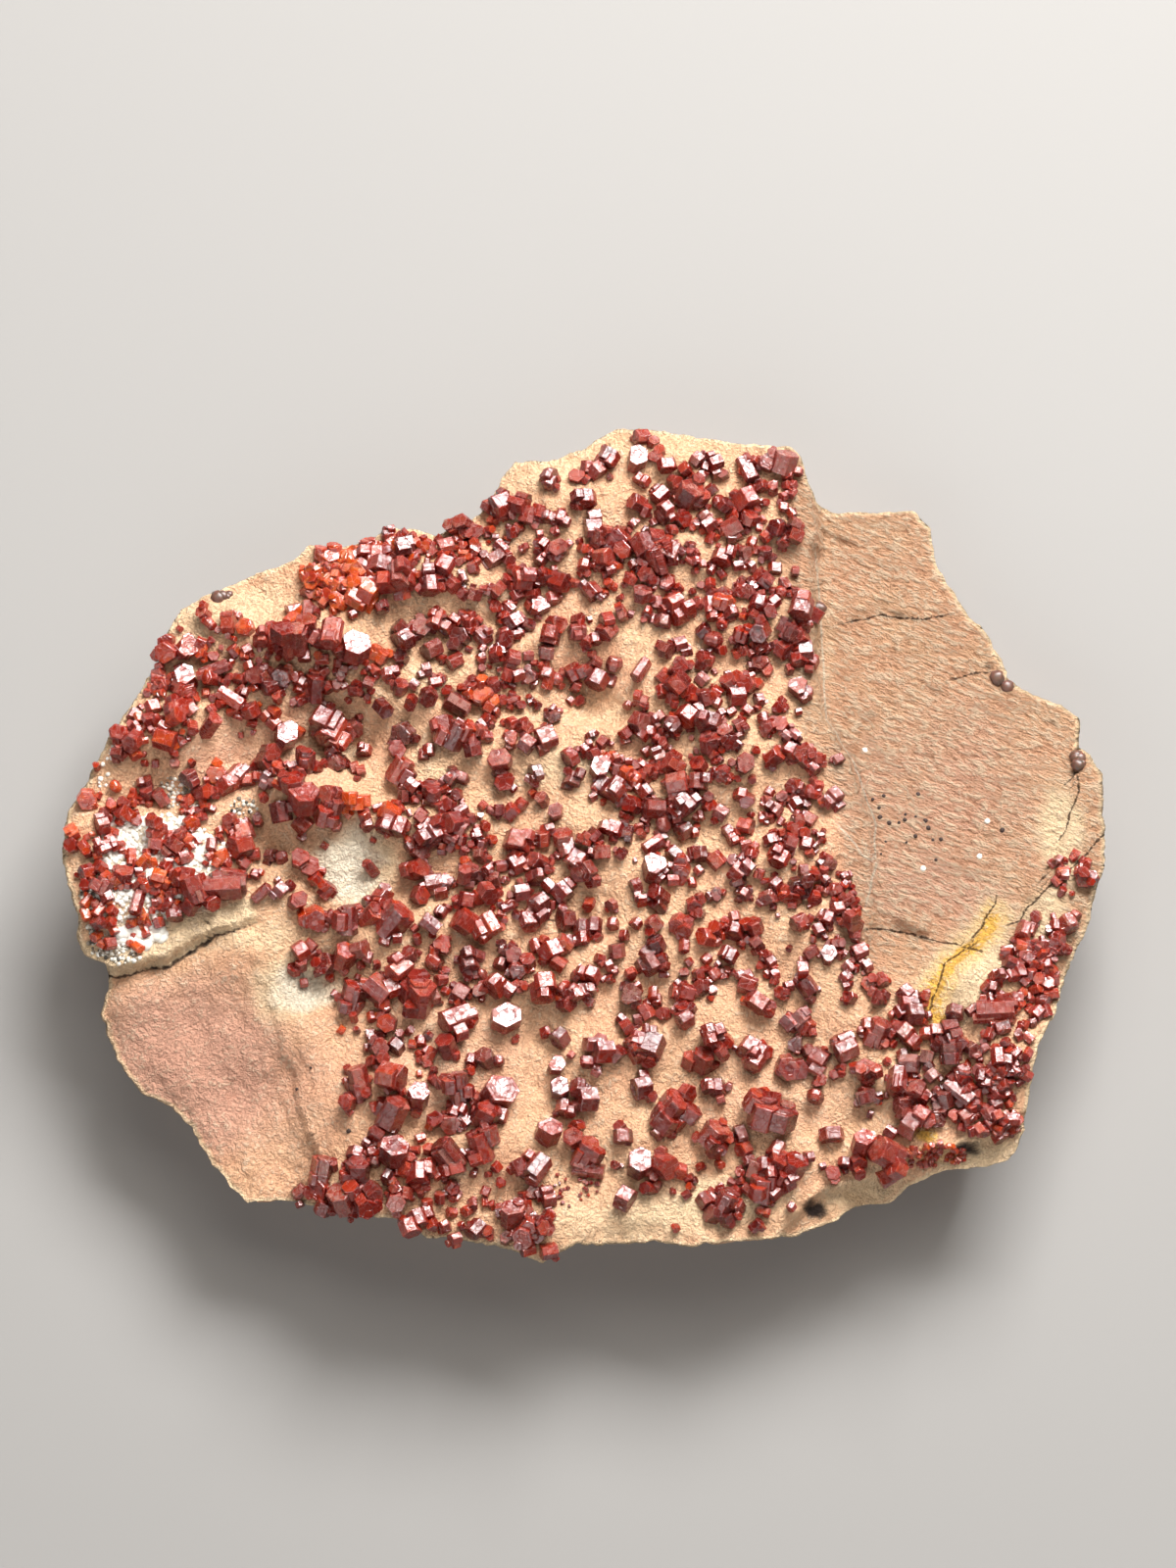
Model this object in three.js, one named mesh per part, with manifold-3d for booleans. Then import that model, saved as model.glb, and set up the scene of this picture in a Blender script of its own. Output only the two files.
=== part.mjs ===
// Vanadinite on matrix: a hand-sized slab of layered sandstone that lies on its flat underside,
// with blocky hexagonal vanadinite crystals grown on its upper face.
//
// Millimetres, +Z up, -Y towards the viewer. The origin is at the middle of the footprint, on the
// surface that the slab lies on. Smaller crystals than these are surface detail and are left out.

import * as THREE from "three";
import { mergeVertices } from "three/addons/utils/BufferGeometryUtils.js";
import Module from "manifold-3d";

const wasm = await Module();
wasm.setup();

// ---------------------------------------------------------------------------------------------
// Driving dimensions
// ---------------------------------------------------------------------------------------------

const FACE_LEVEL = 18.5; // height of the crystal-bearing face over most of the slab
const RIM_DROP = 1.1; // how far the face falls away at the rim
const RIM_START = 0.9; // share of the way from the middle to the rim where the fall begins
const UNDERCUT = 8; // how far the wall recedes from the rim down to the underside
const WALL_BULGE = 1.6; // exponent of the wall's curve: above 1 it stays out longer near the rim
const WALL_ROUGHNESS = 0.6; // how far the wall's broken beds stand in and out
const WALL_RINGS = 3; // rings of points down the wall
const GRID_X = 36; // cells of the face across
const GRID_Y = 30; // cells of the face front to back
const HALF_DEPTH = 60; // half of the slab's size front to back
const REST_HALF = [28, 20]; // half sides of the plain rectangle in the middle of the underside
const CRYSTAL_GAP = 0.3; // clearance between a crystal's root and the rock
const CHAMFER = 0.07; // width of the bevel round a crystal's end faces, as a share of its width
const LYING = 60; // a crystal that leans by more than this shows both its ends
const SMALLEST_LUMP = 2; // cubic millimetres: below this, an offcut left under the rim
const SEAT = 0.45; // how far a crystal's middle stands above the rock, as a share of its half height

// Plan outline of the slab at its rim, anticlockwise from the right-hand end.
const OUTLINE = [
  [75, 0], [75, 5], [74.8, 10], [73.8, 13], [71.5, 15], [72, 19], [70, 20.5], [65, 23], [61.5, 25.5],
  [60.5, 28.5], [59, 32], [56, 35.5], [53, 40], [51.2, 44.5], [50.3, 48.5], [48, 51.3], [44, 51],
  [40, 51], [36, 50.6], [33.6, 52], [32.3, 55], [31.5, 58], [30, 59.5], [25, 60], [20, 60.5],
  [14, 61.4], [8, 62.6], [4, 62.3], [1.5, 60.8], [0, 59.3], [-5, 57.4], [-10, 57.2], [-11.8, 55],
  [-13.2, 52], [-15, 49.3], [-18.5, 47.8], [-21.5, 45.8], [-24.5, 46.9], [-28, 47.2], [-31, 45.4],
  [-36, 44], [-40, 44.3], [-42, 42], [-47, 40.3], [-51, 38.7], [-54.5, 36.8], [-58.5, 34.8],
  [-60.3, 31.5], [-61.5, 27], [-65, 21.5], [-68, 16], [-70, 12], [-72.5, 7.5], [-74.4, 4], [-75, 0],
  [-74.6, -4], [-73.7, -8], [-72.6, -11.5], [-73, -14.5], [-71.5, -17], [-68.6, -18.2], [-68.2, -21],
  [-69, -25], [-68, -29], [-66, -33], [-63, -36.5], [-59, -38.5], [-56, -41.5], [-53, -46.5],
  [-50, -50.5], [-48, -52.5], [-44, -52.2], [-40, -52.6], [-34, -54.5], [-27, -55.5], [-22, -58.4],
  [-16, -58.8], [-11, -59.6], [-6, -61.8], [-3.4, -60.6], [-1, -59.2], [5, -58.9], [11, -58.9],
  [15, -59.8], [19, -59.2], [25, -58.6], [31, -57.2], [36, -55.4], [39.5, -52.8], [44, -52.4],
  [46, -50.2], [51, -48.2], [57, -47.2], [61, -46.4], [63, -42.5], [63.5, -37], [64.8, -31],
  [67.5, -25.5], [69.5, -19.5], [72, -14], [73.2, -8.5], [74.6, -3.5],
];

// Rises and hollows of the face: [x, y, half length, half width, height, turn in degrees].
const SWELLS = [
  [-39, 28, 11, 5, 4.5, -10], // crest that carries the largest crystals
  [-28, 38, 9, 5, 3, 20],
  [-33, 15, 8, 5, -3.5, 0], // sheltered hollow below the crest
  [-42, 6, 7, 3.5, 3, 10],
  [-28, 3, 9, 3, 2, -12],
  [-34, -5, 6, 5, -2.4, 0], // pale pocket
  [-58, 18, 9, 7, 2.4, 30],
  [-49, 14, 4, 6, -2.4, 20],
  [-46.5, 3, 2.6, 6, -1.8, 5],
  [-61, 7, 5, 4, -2, 0],
  [-64, -6, 8, 6, 1.2, 0],
  [-38, -22, 7, 7, -2.6, 0], // pale bowl at the ledge's inner end
  [2.5, 20, 5.5, 3, -2.4, 8], // small smooth hollow
  [-4, 24, 8, 3, -0.8, 0],
  [8, 45, 14, 8, 1.6, 0],
  [22, 46, 6, 4, -1.4, 0],
  [24, 16, 9, 6, 1.6, 0],
  [30, -6, 6, 8, 1.4, 0],
  [5, -3, 10, 5, 1.2, 0],
  [-14, 14, 7, 4, 1.4, 0],
  [-6, -16, 14, 6, 0.9, 0],
  [-26, -40, 7, 12, 1.6, 20],
  [60, -28, 8, 14, 1.6, -12], // crowded right-hand corner
  [48, 22, 14, 16, -1.2, 0], // bare face
  [-58, -32, 10, 10, -0.8, 0],
  [14, -52, 14, 5, -1, 0],
  [38, -50, 8, 2.5, -1.8, 0],
];

// Breaks between two layers: a line of [x, y, drop], where the ground on its right-hand side,
// going along the line, lies lower by the drop.
const LEDGES = [
  [ // bare face on the right, split off below the crystal-bearing layer
    [38, -30, 0], [40, -16, 0.8], [41.5, -6, 1.4], [41, 4, 2], [38.5, 13, 2.6], [34.5, 20, 3.2],
    [32.8, 28, 3.6], [33.2, 37, 4], [34, 46, 4], [33.8, 52, 4], [32.4, 60, 4], [31, 70, 4],
  ],
  [ // lower-left shelf, below the left lobe
    [-84, -20, 3.6], [-73, -17.6, 3.6], [-67, -18.4, 3.4], [-60, -17, 3], [-54, -14, 2.2],
    [-49, -12, 1.2], [-44, -10.8, 0],
  ],
  [ // broken front edge on the right
    [24, -64, 2.2], [29, -55.5, 2.2], [34, -51.4, 2.4], [40, -49.6, 2.4], [45, -47.6, 2.2],
    [49, -45.2, 2], [56, -44.6, 1.8], [61, -42, 1.2], [70, -36, 1],
  ],
  [ // outer right-hand block, raised a little along an old crack
    [47, -33, 0], [49.8, -25.5, -0.5], [52, -19.5, -0.7], [57, -14.5, -0.8], [62.5, -10.5, -0.8],
    [68, -1, -0.8], [70.8, 8, -0.7], [71.5, 24, -0.5],
  ],
];
const LEDGE_WIDTH = 2.4; // plan width over which a ledge falls

// Slow undulation of the bedding: [waves per mm in x, in y, phase, height].
const WAVES = [
  [0.31, 0.17, 0.4, 0.45],
  [-0.22, 0.36, 2.1, 0.4],
  [0.11, -0.52, 4.0, 0.3],
  [0.63, 0.41, 1.3, 0.22],
];

// The crystals, by area of the face. Each row is one hexagonal prism:
// [x, y, width across corners, length, lean from upright, direction of the lean, spin, lift],
// lengths in mm and angles in degrees. The lean's direction counts anticlockwise from +X. Spin
// turns the prism about its own axis, and at 0 a leaning prism has a flat side uppermost. Lift
// raises a crystal that stands on its neighbours.
const CRYSTALS = {
  left_lobe: [
    [-57.6, 23.8, 3.9, 2.8, 18, 62, 12, 0.6], [-53.4, 24.9, 2.6, 4.6, 84, 20, -18, 0.8],
    [-50.4, 9.4, 3.3, 3.8, 70, 232, 0, 0.8], [-55.6, -7.6, 4.3, 3.8, 74, 110, 0, 0.4],
    [-52, -7.7, 4.1, 6.2, 86, 2, 0, 0.4], [-50.4, -5.6, 2.5, 3.8, 84, -12, 10, 0.6],
  ],
  crest: [
    [-45, 29.4, 2.4, 4.4, 68, 282, 8, 0.6], [-40.1, 33.2, 2.5, 3.6, 62, 268, 4, 1],
    [-41.3, 28.5, 4.3, 4.3, 34, 88, 20, 1.2], [-36.3, 29.1, 3.6, 4, 70, 262, 4, 1.6],
    [-32.9, 27.3, 4.8, 3.4, 19, 64, 6, 1.8], [-38.6, 22.2, 3.1, 4.5, 40, 84, 10, 0.4],
    [-27, 38.3, 3.8, 4, 66, 272, 6, 1.4], [-18.6, 46.8, 3, 2.8, 30, 160, 0, 0.4],
    [-16, 46.3, 3.2, 2.4, 16, 300, 12, 0.4],
  ],
  hollow: [
    [-36.5, 16.4, 4.2, 4.2, 68, 246, 0, 2.2], [-43, 15.5, 4.2, 2.8, 20, 50, 8, 0.8],
    [-45.6, 11.7, 3.6, 3.1, 28, 340, 0, 0.4], [-40.1, 10.7, 3.1, 4.6, 48, 86, 0, 0.6],
    [-40.2, 4.9, 4.8, 3.6, 28, 80, 16, 0.8], [-36.2, 3.9, 3.3, 3.6, 46, 70, 0, 0.4],
  ],
  middle: [
    [-26.6, 10.3, 3.6, 3.8, 64, 58, 8, 0.2], [-18.3, 15, 3.6, 4, 56, 60, 0, 0.6],
    [-18.3, 20.2, 3.3, 3.6, 74, 152, 0, 1], [-33.9, -12, 3.2, 4, 58, 88, 0, 0.4],
    [-30.6, -11.4, 3, 3.4, 40, 30, 0, 0], [-27.3, -12.4, 4.8, 4.6, 52, 42, 10, 0.2],
    [-34.2, -17.3, 3.8, 3.6, 30, 60, 0, 0.2], [-36.9, -18, 3.4, 3.3, 22, 200, 0, 0.2],
    [-33, -23.2, 3.9, 3.8, 52, 70, 0, 0.2], [-26.5, -19.5, 3.3, 3.6, 62, 225, 0, 0.6],
    [-23, -23.7, 4.6, 4.1, 36, 80, 12, 0.4], [-18.3, -26.6, 4.2, 4.6, 72, 205, 8, 0.4],
    [-11, -26.8, 4.9, 2.4, 18, 62, 0, 0.9],
  ],
  front_left: [
    [-32, -36.3, 3.2, 4.8, 62, 106, 0, 0.4], [-33.6, -39.1, 3, 2.8, 20, 220, 0, 0.2],
    [-23.6, -38.5, 4, 3.6, 22, 70, 14, 0.2], [-27.2, -40.8, 4.3, 4.3, 48, 60, 0, 0.4],
    [-17.9, -37, 3.2, 4.3, 54, 96, 0, 0.4], [-12.2, -37.6, 5.4, 4.3, 22, 30, 0, 0.2],
    [-14.6, -45.8, 3.2, 4.5, 62, 112, 0, 0.4], [-19.1, -47, 3.8, 4.3, 60, 132, 0, 0.2],
    [-27, -46.5, 5, 3.4, 27, 80, 24, 1], [-32.2, -49.2, 3.9, 3.8, 40, 90, 0, 0.4],
    [-37.3, -48.3, 3.8, 3.6, 58, 78, 0, 0.4], [-30.1, -52.6, 3.6, 3.6, 42, 300, 10, 0.6],
    [-10, -55.4, 3.6, 3.6, 28, 85, 20, 0.6], [-8.4, -58.4, 3.6, 3.3, 40, 250, 0, 0.2],
    [-6, -57, 3.3, 3.4, 30, 330, 0, 0.4], [-7, -48.4, 3.9, 4, 70, 236, 0, 0.2],
    [-5, -43.3, 4.2, 3.4, 28, 60, 0, 0.2], [0.3, -46, 3.9, 3.8, 46, 56, 0, 0.2],
    [0.9, -48.4, 2.5, 4.3, 84, 350, 0, 0.2],
  ],
  front_right: [
    [9.6, -31, 3.9, 4, 62, 250, 0, 0.4], [7.3, -31, 2.8, 3.4, 64, 120, 0, 0.2],
    [13, -39.4, 4.6, 2.8, 46, 44, 0, 0.4], [24.7, -39.3, 4.1, 2.8, 50, 50, 10, 0.3],
    [27.9, -41.3, 5.1, 3.1, 50, 74, 0, 0.4], [24.5, -32.3, 3.6, 3.6, 69, 240, 0, 0.6],
    [29.2, -33.8, 3.8, 3.6, 24, 280, 0, 0.2], [18.5, -43.6, 3.9, 3.6, 48, 46, 0, 0.2],
    [28, -48.1, 4.3, 3.4, 38, 60, 0, 0.2], [25.4, -51.4, 3.9, 3.8, 52, 84, 0, 0.4],
    [19.9, -53.6, 3.8, 3.8, 56, 60, 0, 0.4], [8, -47.8, 4.3, 3.4, 14, 60, 0, 0.2],
  ],
  right_corner: [
    [40.5, -34.5, 3.4, 3.3, 20, 120, 0, 0.2], [44.6, -35.8, 3.2, 3.8, 68, 262, 4, 0.6],
    [42, -28.6, 3.6, 3.6, 50, 66, 0, 0.2], [58.8, -25.8, 3.6, 5.7, 85, 2, 0, 0.6],
    [39.8, -44.7, 3.7, 3.2, 27, 70, 0, 0.2],
  ],
  back: [
    [7.8, 57.2, 3.8, 2.6, 18, 56, 0, 0.4], [31.6, 34.6, 3.6, 3.6, 67, 258, 2, 0.8],
    [10, -4.9, 4.1, 3.6, 20, 60, 12, 0.4], [10.6, 42, 3.9, 3.8, 54, 110, 0, 0.2],
  ],
};

// ---------------------------------------------------------------------------------------------
// The rock's face as a height over the plan
// ---------------------------------------------------------------------------------------------

const radians = THREE.MathUtils.degToRad;
const smoothstep = THREE.MathUtils.smoothstep;

// The outline as a smooth closed curve, sorted by direction so that a radius can be looked up.
const rimCurve = new THREE.CatmullRomCurve3(
  OUTLINE.map(([x, y]) => new THREE.Vector3(x, y, 0)),
  true,
  "centripetal",
);
const RIM_SAMPLES = rimCurve
  .getPoints(1440)
  .map((p) => ({ angle: Math.atan2(p.y, p.x), radius: Math.hypot(p.x, p.y) }))
  .sort((a, b) => a.angle - b.angle);

/** Distance from the middle to the rim in a direction, read between the two nearest samples. */
function rimRadius(angle) {
  const last = RIM_SAMPLES.length - 1;
  let low = 0;
  let high = last;
  while (high - low > 1) {
    const middle = (low + high) >> 1;
    if (RIM_SAMPLES[middle].angle <= angle) low = middle;
    else high = middle;
  }
  const [a, b] = [RIM_SAMPLES[low], RIM_SAMPLES[high]];
  const share = (angle - a.angle) / (b.angle - a.angle || 1);
  return THREE.MathUtils.lerp(a.radius, b.radius, THREE.MathUtils.clamp(share, 0, 1));
}

/** How much lower the ground at (x, y) lies because of a ledge. */
function ledgeDrop(line, x, y) {
  let nearest = Infinity;
  let side = 1;
  let drop = 0;
  for (let i = 0; i + 1 < line.length; i += 1) {
    const [ax, ay, aDrop] = line[i];
    const [bx, by, bDrop] = line[i + 1];
    const [dx, dy] = [bx - ax, by - ay];
    const along = THREE.MathUtils.clamp(
      ((x - ax) * dx + (y - ay) * dy) / (dx * dx + dy * dy), 0, 1);
    const distance = Math.hypot(x - ax - along * dx, y - ay - along * dy);
    if (distance < nearest) {
      nearest = distance;
      side = dx * (y - ay) - dy * (x - ax) > 0 ? -1 : 1;
      drop = THREE.MathUtils.lerp(aDrop, bDrop, along);
    }
  }
  return drop * smoothstep(side * nearest, -LEDGE_WIDTH / 2, LEDGE_WIDTH / 2);
}

/** Height of the face over the surface that the slab lies on. */
function faceHeight(x, y) {
  const share = Math.hypot(x, y) / rimRadius(Math.atan2(y, x));
  let z = FACE_LEVEL - RIM_DROP * smoothstep(share, RIM_START, 1) ** 2;
  for (const [cx, cy, length, width, height, turn] of SWELLS) {
    const [c, s] = [Math.cos(radians(turn)), Math.sin(radians(turn))];
    const along = ((x - cx) * c + (y - cy) * s) / length;
    const across = ((y - cy) * c - (x - cx) * s) / width;
    z += height * Math.exp(-(along * along + across * across));
  }
  for (const line of LEDGES) z -= ledgeDrop(line, x, y);
  for (const [kx, ky, phase, height] of WAVES) z += height * Math.sin(kx * x + ky * y + phase);
  return z;
}

// ---------------------------------------------------------------------------------------------
// The matrix: face, receding wall and flat underside, as one closed surface
// ---------------------------------------------------------------------------------------------

/** Point of the plan for (s, t), each from -1 to 1: the square is rounded to a disc, which is
 * then stretched to the outline. */
function planPoint(s, t) {
  const u = s * Math.sqrt(1 - (t * t) / 2);
  const v = t * Math.sqrt(1 - (s * s) / 2);
  const angle = Math.atan2(v, u);
  const radius = Math.hypot(u, v) * rimRadius(angle);
  return [radius * Math.cos(angle), radius * Math.sin(angle)];
}

function matrixGeometry() {
  const positions = [];
  const faces = [];
  const index = (i, j) => j * (GRID_X + 1) + i;
  for (let j = 0; j <= GRID_Y; j += 1) {
    for (let i = 0; i <= GRID_X; i += 1) {
      const [x, y] = planPoint((2 * i) / GRID_X - 1, (2 * j) / GRID_Y - 1);
      positions.push(x, y, faceHeight(x, y));
    }
  }
  for (let j = 0; j < GRID_Y; j += 1) {
    for (let i = 0; i < GRID_X; i += 1) {
      const [a, b, c, d] = [index(i, j), index(i + 1, j), index(i + 1, j + 1), index(i, j + 1)];
      faces.push(a, b, c, a, c, d);
    }
  }

  // The rim, anticlockwise, and below it one ring of the wall after another.
  let ring = [];
  for (let i = 0; i < GRID_X; i += 1) ring.push(index(i, 0));
  for (let j = 0; j < GRID_Y; j += 1) ring.push(index(GRID_X, j));
  for (let i = GRID_X; i > 0; i -= 1) ring.push(index(i, GRID_Y));
  for (let j = GRID_Y; j > 0; j -= 1) ring.push(index(0, j));
  const rim = ring.map((n) => positions.slice(3 * n, 3 * n + 3));
  for (let level = 1; level <= WALL_RINGS; level += 1) {
    const depth = level / WALL_RINGS;
    const next = rim.map(([x, y, z], k) => {
      const radius = Math.hypot(x, y);
      const rough = level < WALL_RINGS ? WALL_ROUGHNESS * Math.sin(k * 1.7 + level * 2.3) : 0;
      const shrink = 1 - (UNDERCUT * depth ** WALL_BULGE + rough) / radius;
      positions.push(x * shrink, y * shrink, z * (1 - depth));
      return positions.length / 3 - 1;
    });
    next.forEach((n, k) => {
      const after = (k + 1) % next.length;
      faces.push(ring[k], n, next[after], ring[k], next[after], ring[after]);
    });
    ring = next;
  }

  // The underside: one plain rectangle, and the plane round it out to the wall's foot.
  const [hx, hy] = REST_HALF;
  const corners = [[hx, hy], [-hx, hy], [-hx, -hy], [hx, -hy]];
  const cornerIndex = corners.map(([x, y]) => {
    positions.push(x, y, 0);
    return positions.length / 3 - 1;
  });
  const flat = (n) => new THREE.Vector2(positions[3 * n], positions[3 * n + 1]);
  const order = [...ring, ...cornerIndex];
  const around = THREE.ShapeUtils.triangulateShape(ring.map(flat), [cornerIndex.map(flat)]);
  for (const [a, b, c] of around) faces.push(order[c], order[b], order[a]);
  const [p, q, r, t] = cornerIndex;
  faces.push(p, r, q, p, t, r);

  const geometry = new THREE.BufferGeometry();
  geometry.setAttribute("position", new THREE.Float32BufferAttribute(positions, 3));
  geometry.setIndex(faces);
  return geometry;
}

// ---------------------------------------------------------------------------------------------
// Solids
// ---------------------------------------------------------------------------------------------

/** A closed geometry as a solid that can be joined and cut. */
function solidOf(geometry) {
  const bare = new THREE.BufferGeometry();
  bare.setAttribute("position", geometry.getAttribute("position"));
  bare.setIndex(geometry.index);
  const merged = mergeVertices(bare, 1e-4);
  return new wasm.Manifold(new wasm.Mesh({
    numProp: 3,
    vertProperties: new Float32Array(merged.attributes.position.array),
    triVerts: new Uint32Array(merged.index.array),
  }));
}

/** A solid back as a geometry. */
function geometryOf(solid) {
  const mesh = solid.getMesh();
  const positions = new Float32Array(mesh.numVert * 3);
  for (let i = 0; i < mesh.numVert; i += 1) {
    positions.set(mesh.vertProperties.subarray(i * mesh.numProp, i * mesh.numProp + 3), 3 * i);
  }
  const geometry = new THREE.BufferGeometry();
  geometry.setAttribute("position", new THREE.BufferAttribute(positions, 3));
  geometry.setIndex(new THREE.BufferAttribute(mesh.triVerts, 1));
  return geometry;
}

/** One hexagonal prism with its end faces bevelled, leaning out of the rock. */
function crystalSolid([x, y, width, length, lean, towards, spin, lift]) {
  const radius = width / 2;
  const bevel = CHAMFER * width;
  const half = length / 2;
  const foot = lean > LYING ? [[radius - bevel, -half], [radius, -half + bevel]] : [[radius, -half]];
  const head = [[radius, half - bevel], [radius - bevel, half]];
  const profile = [[0, -half], ...foot, ...head, [0, half]].map(([r, h]) => new THREE.Vector2(r, h));
  const prism = new THREE.LatheGeometry(profile, 6);
  prism.rotateX(Math.PI / 2); // the lathe turns round Y
  prism.rotateZ(radians(towards + spin));
  const hinge = new THREE.Vector3(-Math.sin(radians(towards)), Math.cos(radians(towards)), 0);
  prism.applyMatrix4(new THREE.Matrix4().makeRotationAxis(hinge, radians(lean)));
  const halfHeight = Math.cos(radians(lean)) * half + Math.sin(radians(lean)) * radius;
  prism.translate(x, y, faceHeight(x, y) + SEAT * halfHeight + lift);
  return solidOf(prism);
}

const rock = solidOf(matrixGeometry());

// The space the crystals keep out of: the rock, and the clearance above it and beyond its rim.
const WIDER = 1 + (2 * CRYSTAL_GAP) / HALF_DEPTH;
const raised = rock.translate([0, 0, CRYSTAL_GAP]);
const keepOut = wasm.Manifold.union([rock, raised, raised.scale([WIDER, WIDER, 1])]);

// ---------------------------------------------------------------------------------------------
// The specimen
// ---------------------------------------------------------------------------------------------

const rockMaterial = new THREE.MeshStandardMaterial({
  color: 0xd3a27c,
  roughness: 0.9,
  metalness: 0,
});
const crystalMaterial = new THREE.MeshStandardMaterial({
  color: 0x7e1c12,
  roughness: 0.2,
  metalness: 0,
});

const specimen = new THREE.Group();

const matrix = new THREE.Mesh(geometryOf(rock), rockMaterial);
matrix.name = "matrix";
specimen.add(matrix);

// Crystals that overlap have grown together, so each joined lump is one solid.
for (const [area, rows] of Object.entries(CRYSTALS)) {
  const grown = wasm.Manifold.union(rows.map(crystalSolid)).subtract(keepOut).simplify(0.03);
  const lumps = grown.decompose().filter((lump) => lump.volume() > SMALLEST_LUMP);
  lumps.forEach((lump, n) => {
    const crystal = new THREE.Mesh(geometryOf(lump), crystalMaterial);
    crystal.name = `${area}_crystal_${n + 1}`;
    specimen.add(crystal);
  });
}

export default specimen;
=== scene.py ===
"""Vanadinite on matrix: a slab of pinkish tan sandstone with red hexagonal crystals on its face."""

import math

import bpy
import numpy as np
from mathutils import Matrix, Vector


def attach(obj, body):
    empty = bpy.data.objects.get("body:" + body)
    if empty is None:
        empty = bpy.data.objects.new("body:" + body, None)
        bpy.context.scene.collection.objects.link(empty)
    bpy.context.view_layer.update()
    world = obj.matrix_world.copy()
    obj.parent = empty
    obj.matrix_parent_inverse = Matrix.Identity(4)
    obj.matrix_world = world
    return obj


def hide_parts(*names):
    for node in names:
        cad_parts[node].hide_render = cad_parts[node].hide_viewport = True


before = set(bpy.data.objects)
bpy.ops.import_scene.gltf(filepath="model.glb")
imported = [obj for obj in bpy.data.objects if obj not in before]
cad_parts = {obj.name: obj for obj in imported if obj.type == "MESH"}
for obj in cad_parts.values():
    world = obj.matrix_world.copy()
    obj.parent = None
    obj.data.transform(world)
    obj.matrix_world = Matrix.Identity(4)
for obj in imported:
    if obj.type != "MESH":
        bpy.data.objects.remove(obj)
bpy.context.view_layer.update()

# ---------------------------------------------------------------------------------------------
# Floor, camera and light
# A plain pale table top. The slab lies on its back and is seen from high in front. A soft box
# stands low behind it to the right, so that crystal faces tipped that way shine white. A dim
# panel above it greys the faces tipped nearly so, and a broad dim one lights the front edge.
# ---------------------------------------------------------------------------------------------

VIEW_AZIMUTH = -90.0
VIEW_ELEVATION = 75.0
VIEW_DISTANCE = 1.252
VIEW_TARGET = np.array([0.0006, 0.0075, 0.022])
LENS = 200.0
SENSOR_WIDTH = 36.0
CLIP_END = 20.0
KEY_AZIMUTH = 68.0
KEY_ELEVATION = 43.0
WHITE = (1.0, 1.0, 1.0)
WARM_WHITE = (1.0, 0.93, 0.85)

# Lamps: name, azimuth, elevation, distance, width, height, radiance and tint, in degrees and m.
LAMPS = [
    ("key_box", KEY_AZIMUTH, KEY_ELEVATION, 0.75, 0.44, 0.34, 23.0, WHITE),
    ("halo_panel", KEY_AZIMUTH, 58.0, 0.95, 1.10, 0.90, 2.0, WARM_WHITE),
    ("front_fill", -110.0, 38.0, 1.3, 1.40, 1.00, 1.7, WHITE),
]
ROOM_COLOUR = (1.0, 0.95, 0.88, 1.0)
ROOM_STRENGTH = 0.06


def direction(azimuth, elevation):
    """Unit vector for an azimuth, anticlockwise from +X, and an elevation, both in degrees."""
    a, e = math.radians(azimuth), math.radians(elevation)
    return np.array([math.cos(e) * math.cos(a), math.cos(e) * math.sin(a), math.sin(e)])


def aim(obj, position, target):
    """Puts a lamp or camera at a position so that its -Z axis runs to the target."""
    obj.location = Vector(position)
    obj.rotation_euler = Vector(target - position).to_track_quat("-Z", "Y").to_euler()


def soft_box(name, azimuth, elevation, distance, width, height, radiance, tint):
    """Rectangular lamp of a given brightness: its power is radiance times pi times its area."""
    lamp = bpy.data.lights.new(name, "AREA")
    lamp.shape = "RECTANGLE"
    lamp.size = width
    lamp.size_y = height
    lamp.energy = radiance * math.pi * width * height
    lamp.color = tint
    lamp_object = bpy.data.objects.new(name, lamp)
    bpy.context.collection.objects.link(lamp_object)
    aim(lamp_object, VIEW_TARGET + distance * direction(azimuth, elevation), VIEW_TARGET)


view_direction = direction(VIEW_AZIMUTH, VIEW_ELEVATION)
key_direction = direction(KEY_AZIMUTH, KEY_ELEVATION)
glint_direction = view_direction + key_direction
glint_direction /= np.linalg.norm(glint_direction)

camera = bpy.data.objects.new("camera", bpy.data.cameras.new("camera"))
camera.data.lens = LENS
camera.data.sensor_width = SENSOR_WIDTH
camera.data.clip_end = CLIP_END
bpy.context.collection.objects.link(camera)
aim(camera, VIEW_TARGET + VIEW_DISTANCE * view_direction, VIEW_TARGET)
bpy.context.scene.camera = camera
bpy.context.scene.view_settings.view_transform = "Standard"

for lamp_values in LAMPS:
    soft_box(*lamp_values)

world = bpy.data.worlds.new("studio")
world.use_nodes = True
world.node_tree.nodes["Background"].inputs["Color"].default_value = ROOM_COLOUR
world.node_tree.nodes["Background"].inputs["Strength"].default_value = ROOM_STRENGTH
bpy.context.scene.world = world

MM = 0.001


def new_piece(name, points, polygons, material, smooth=False):
    """Mesh object from points in millimetres and arrays of corner numbers, one row for each face
    and one array for each number of corners."""
    mesh = bpy.data.meshes.new(name)
    mesh.vertices.add(len(points))
    mesh.vertices.foreach_set("co", (points * MM).astype(np.float32).ravel())
    corners = np.concatenate([p.ravel() for p in polygons]).astype(np.int32)
    sizes = np.concatenate([np.full(len(p), p.shape[1]) for p in polygons])
    mesh.loops.add(len(corners))
    mesh.loops.foreach_set("vertex_index", corners)
    mesh.polygons.add(len(sizes))
    mesh.polygons.foreach_set("loop_start", np.r_[0, np.cumsum(sizes)[:-1]].astype(np.int32))
    mesh.polygons.foreach_set("use_smooth", np.full(len(sizes), smooth))
    mesh.update(calc_edges=True)
    mesh.materials.append(material)
    piece = bpy.data.objects.new(name, mesh)
    bpy.context.collection.objects.link(piece)
    return piece


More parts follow.
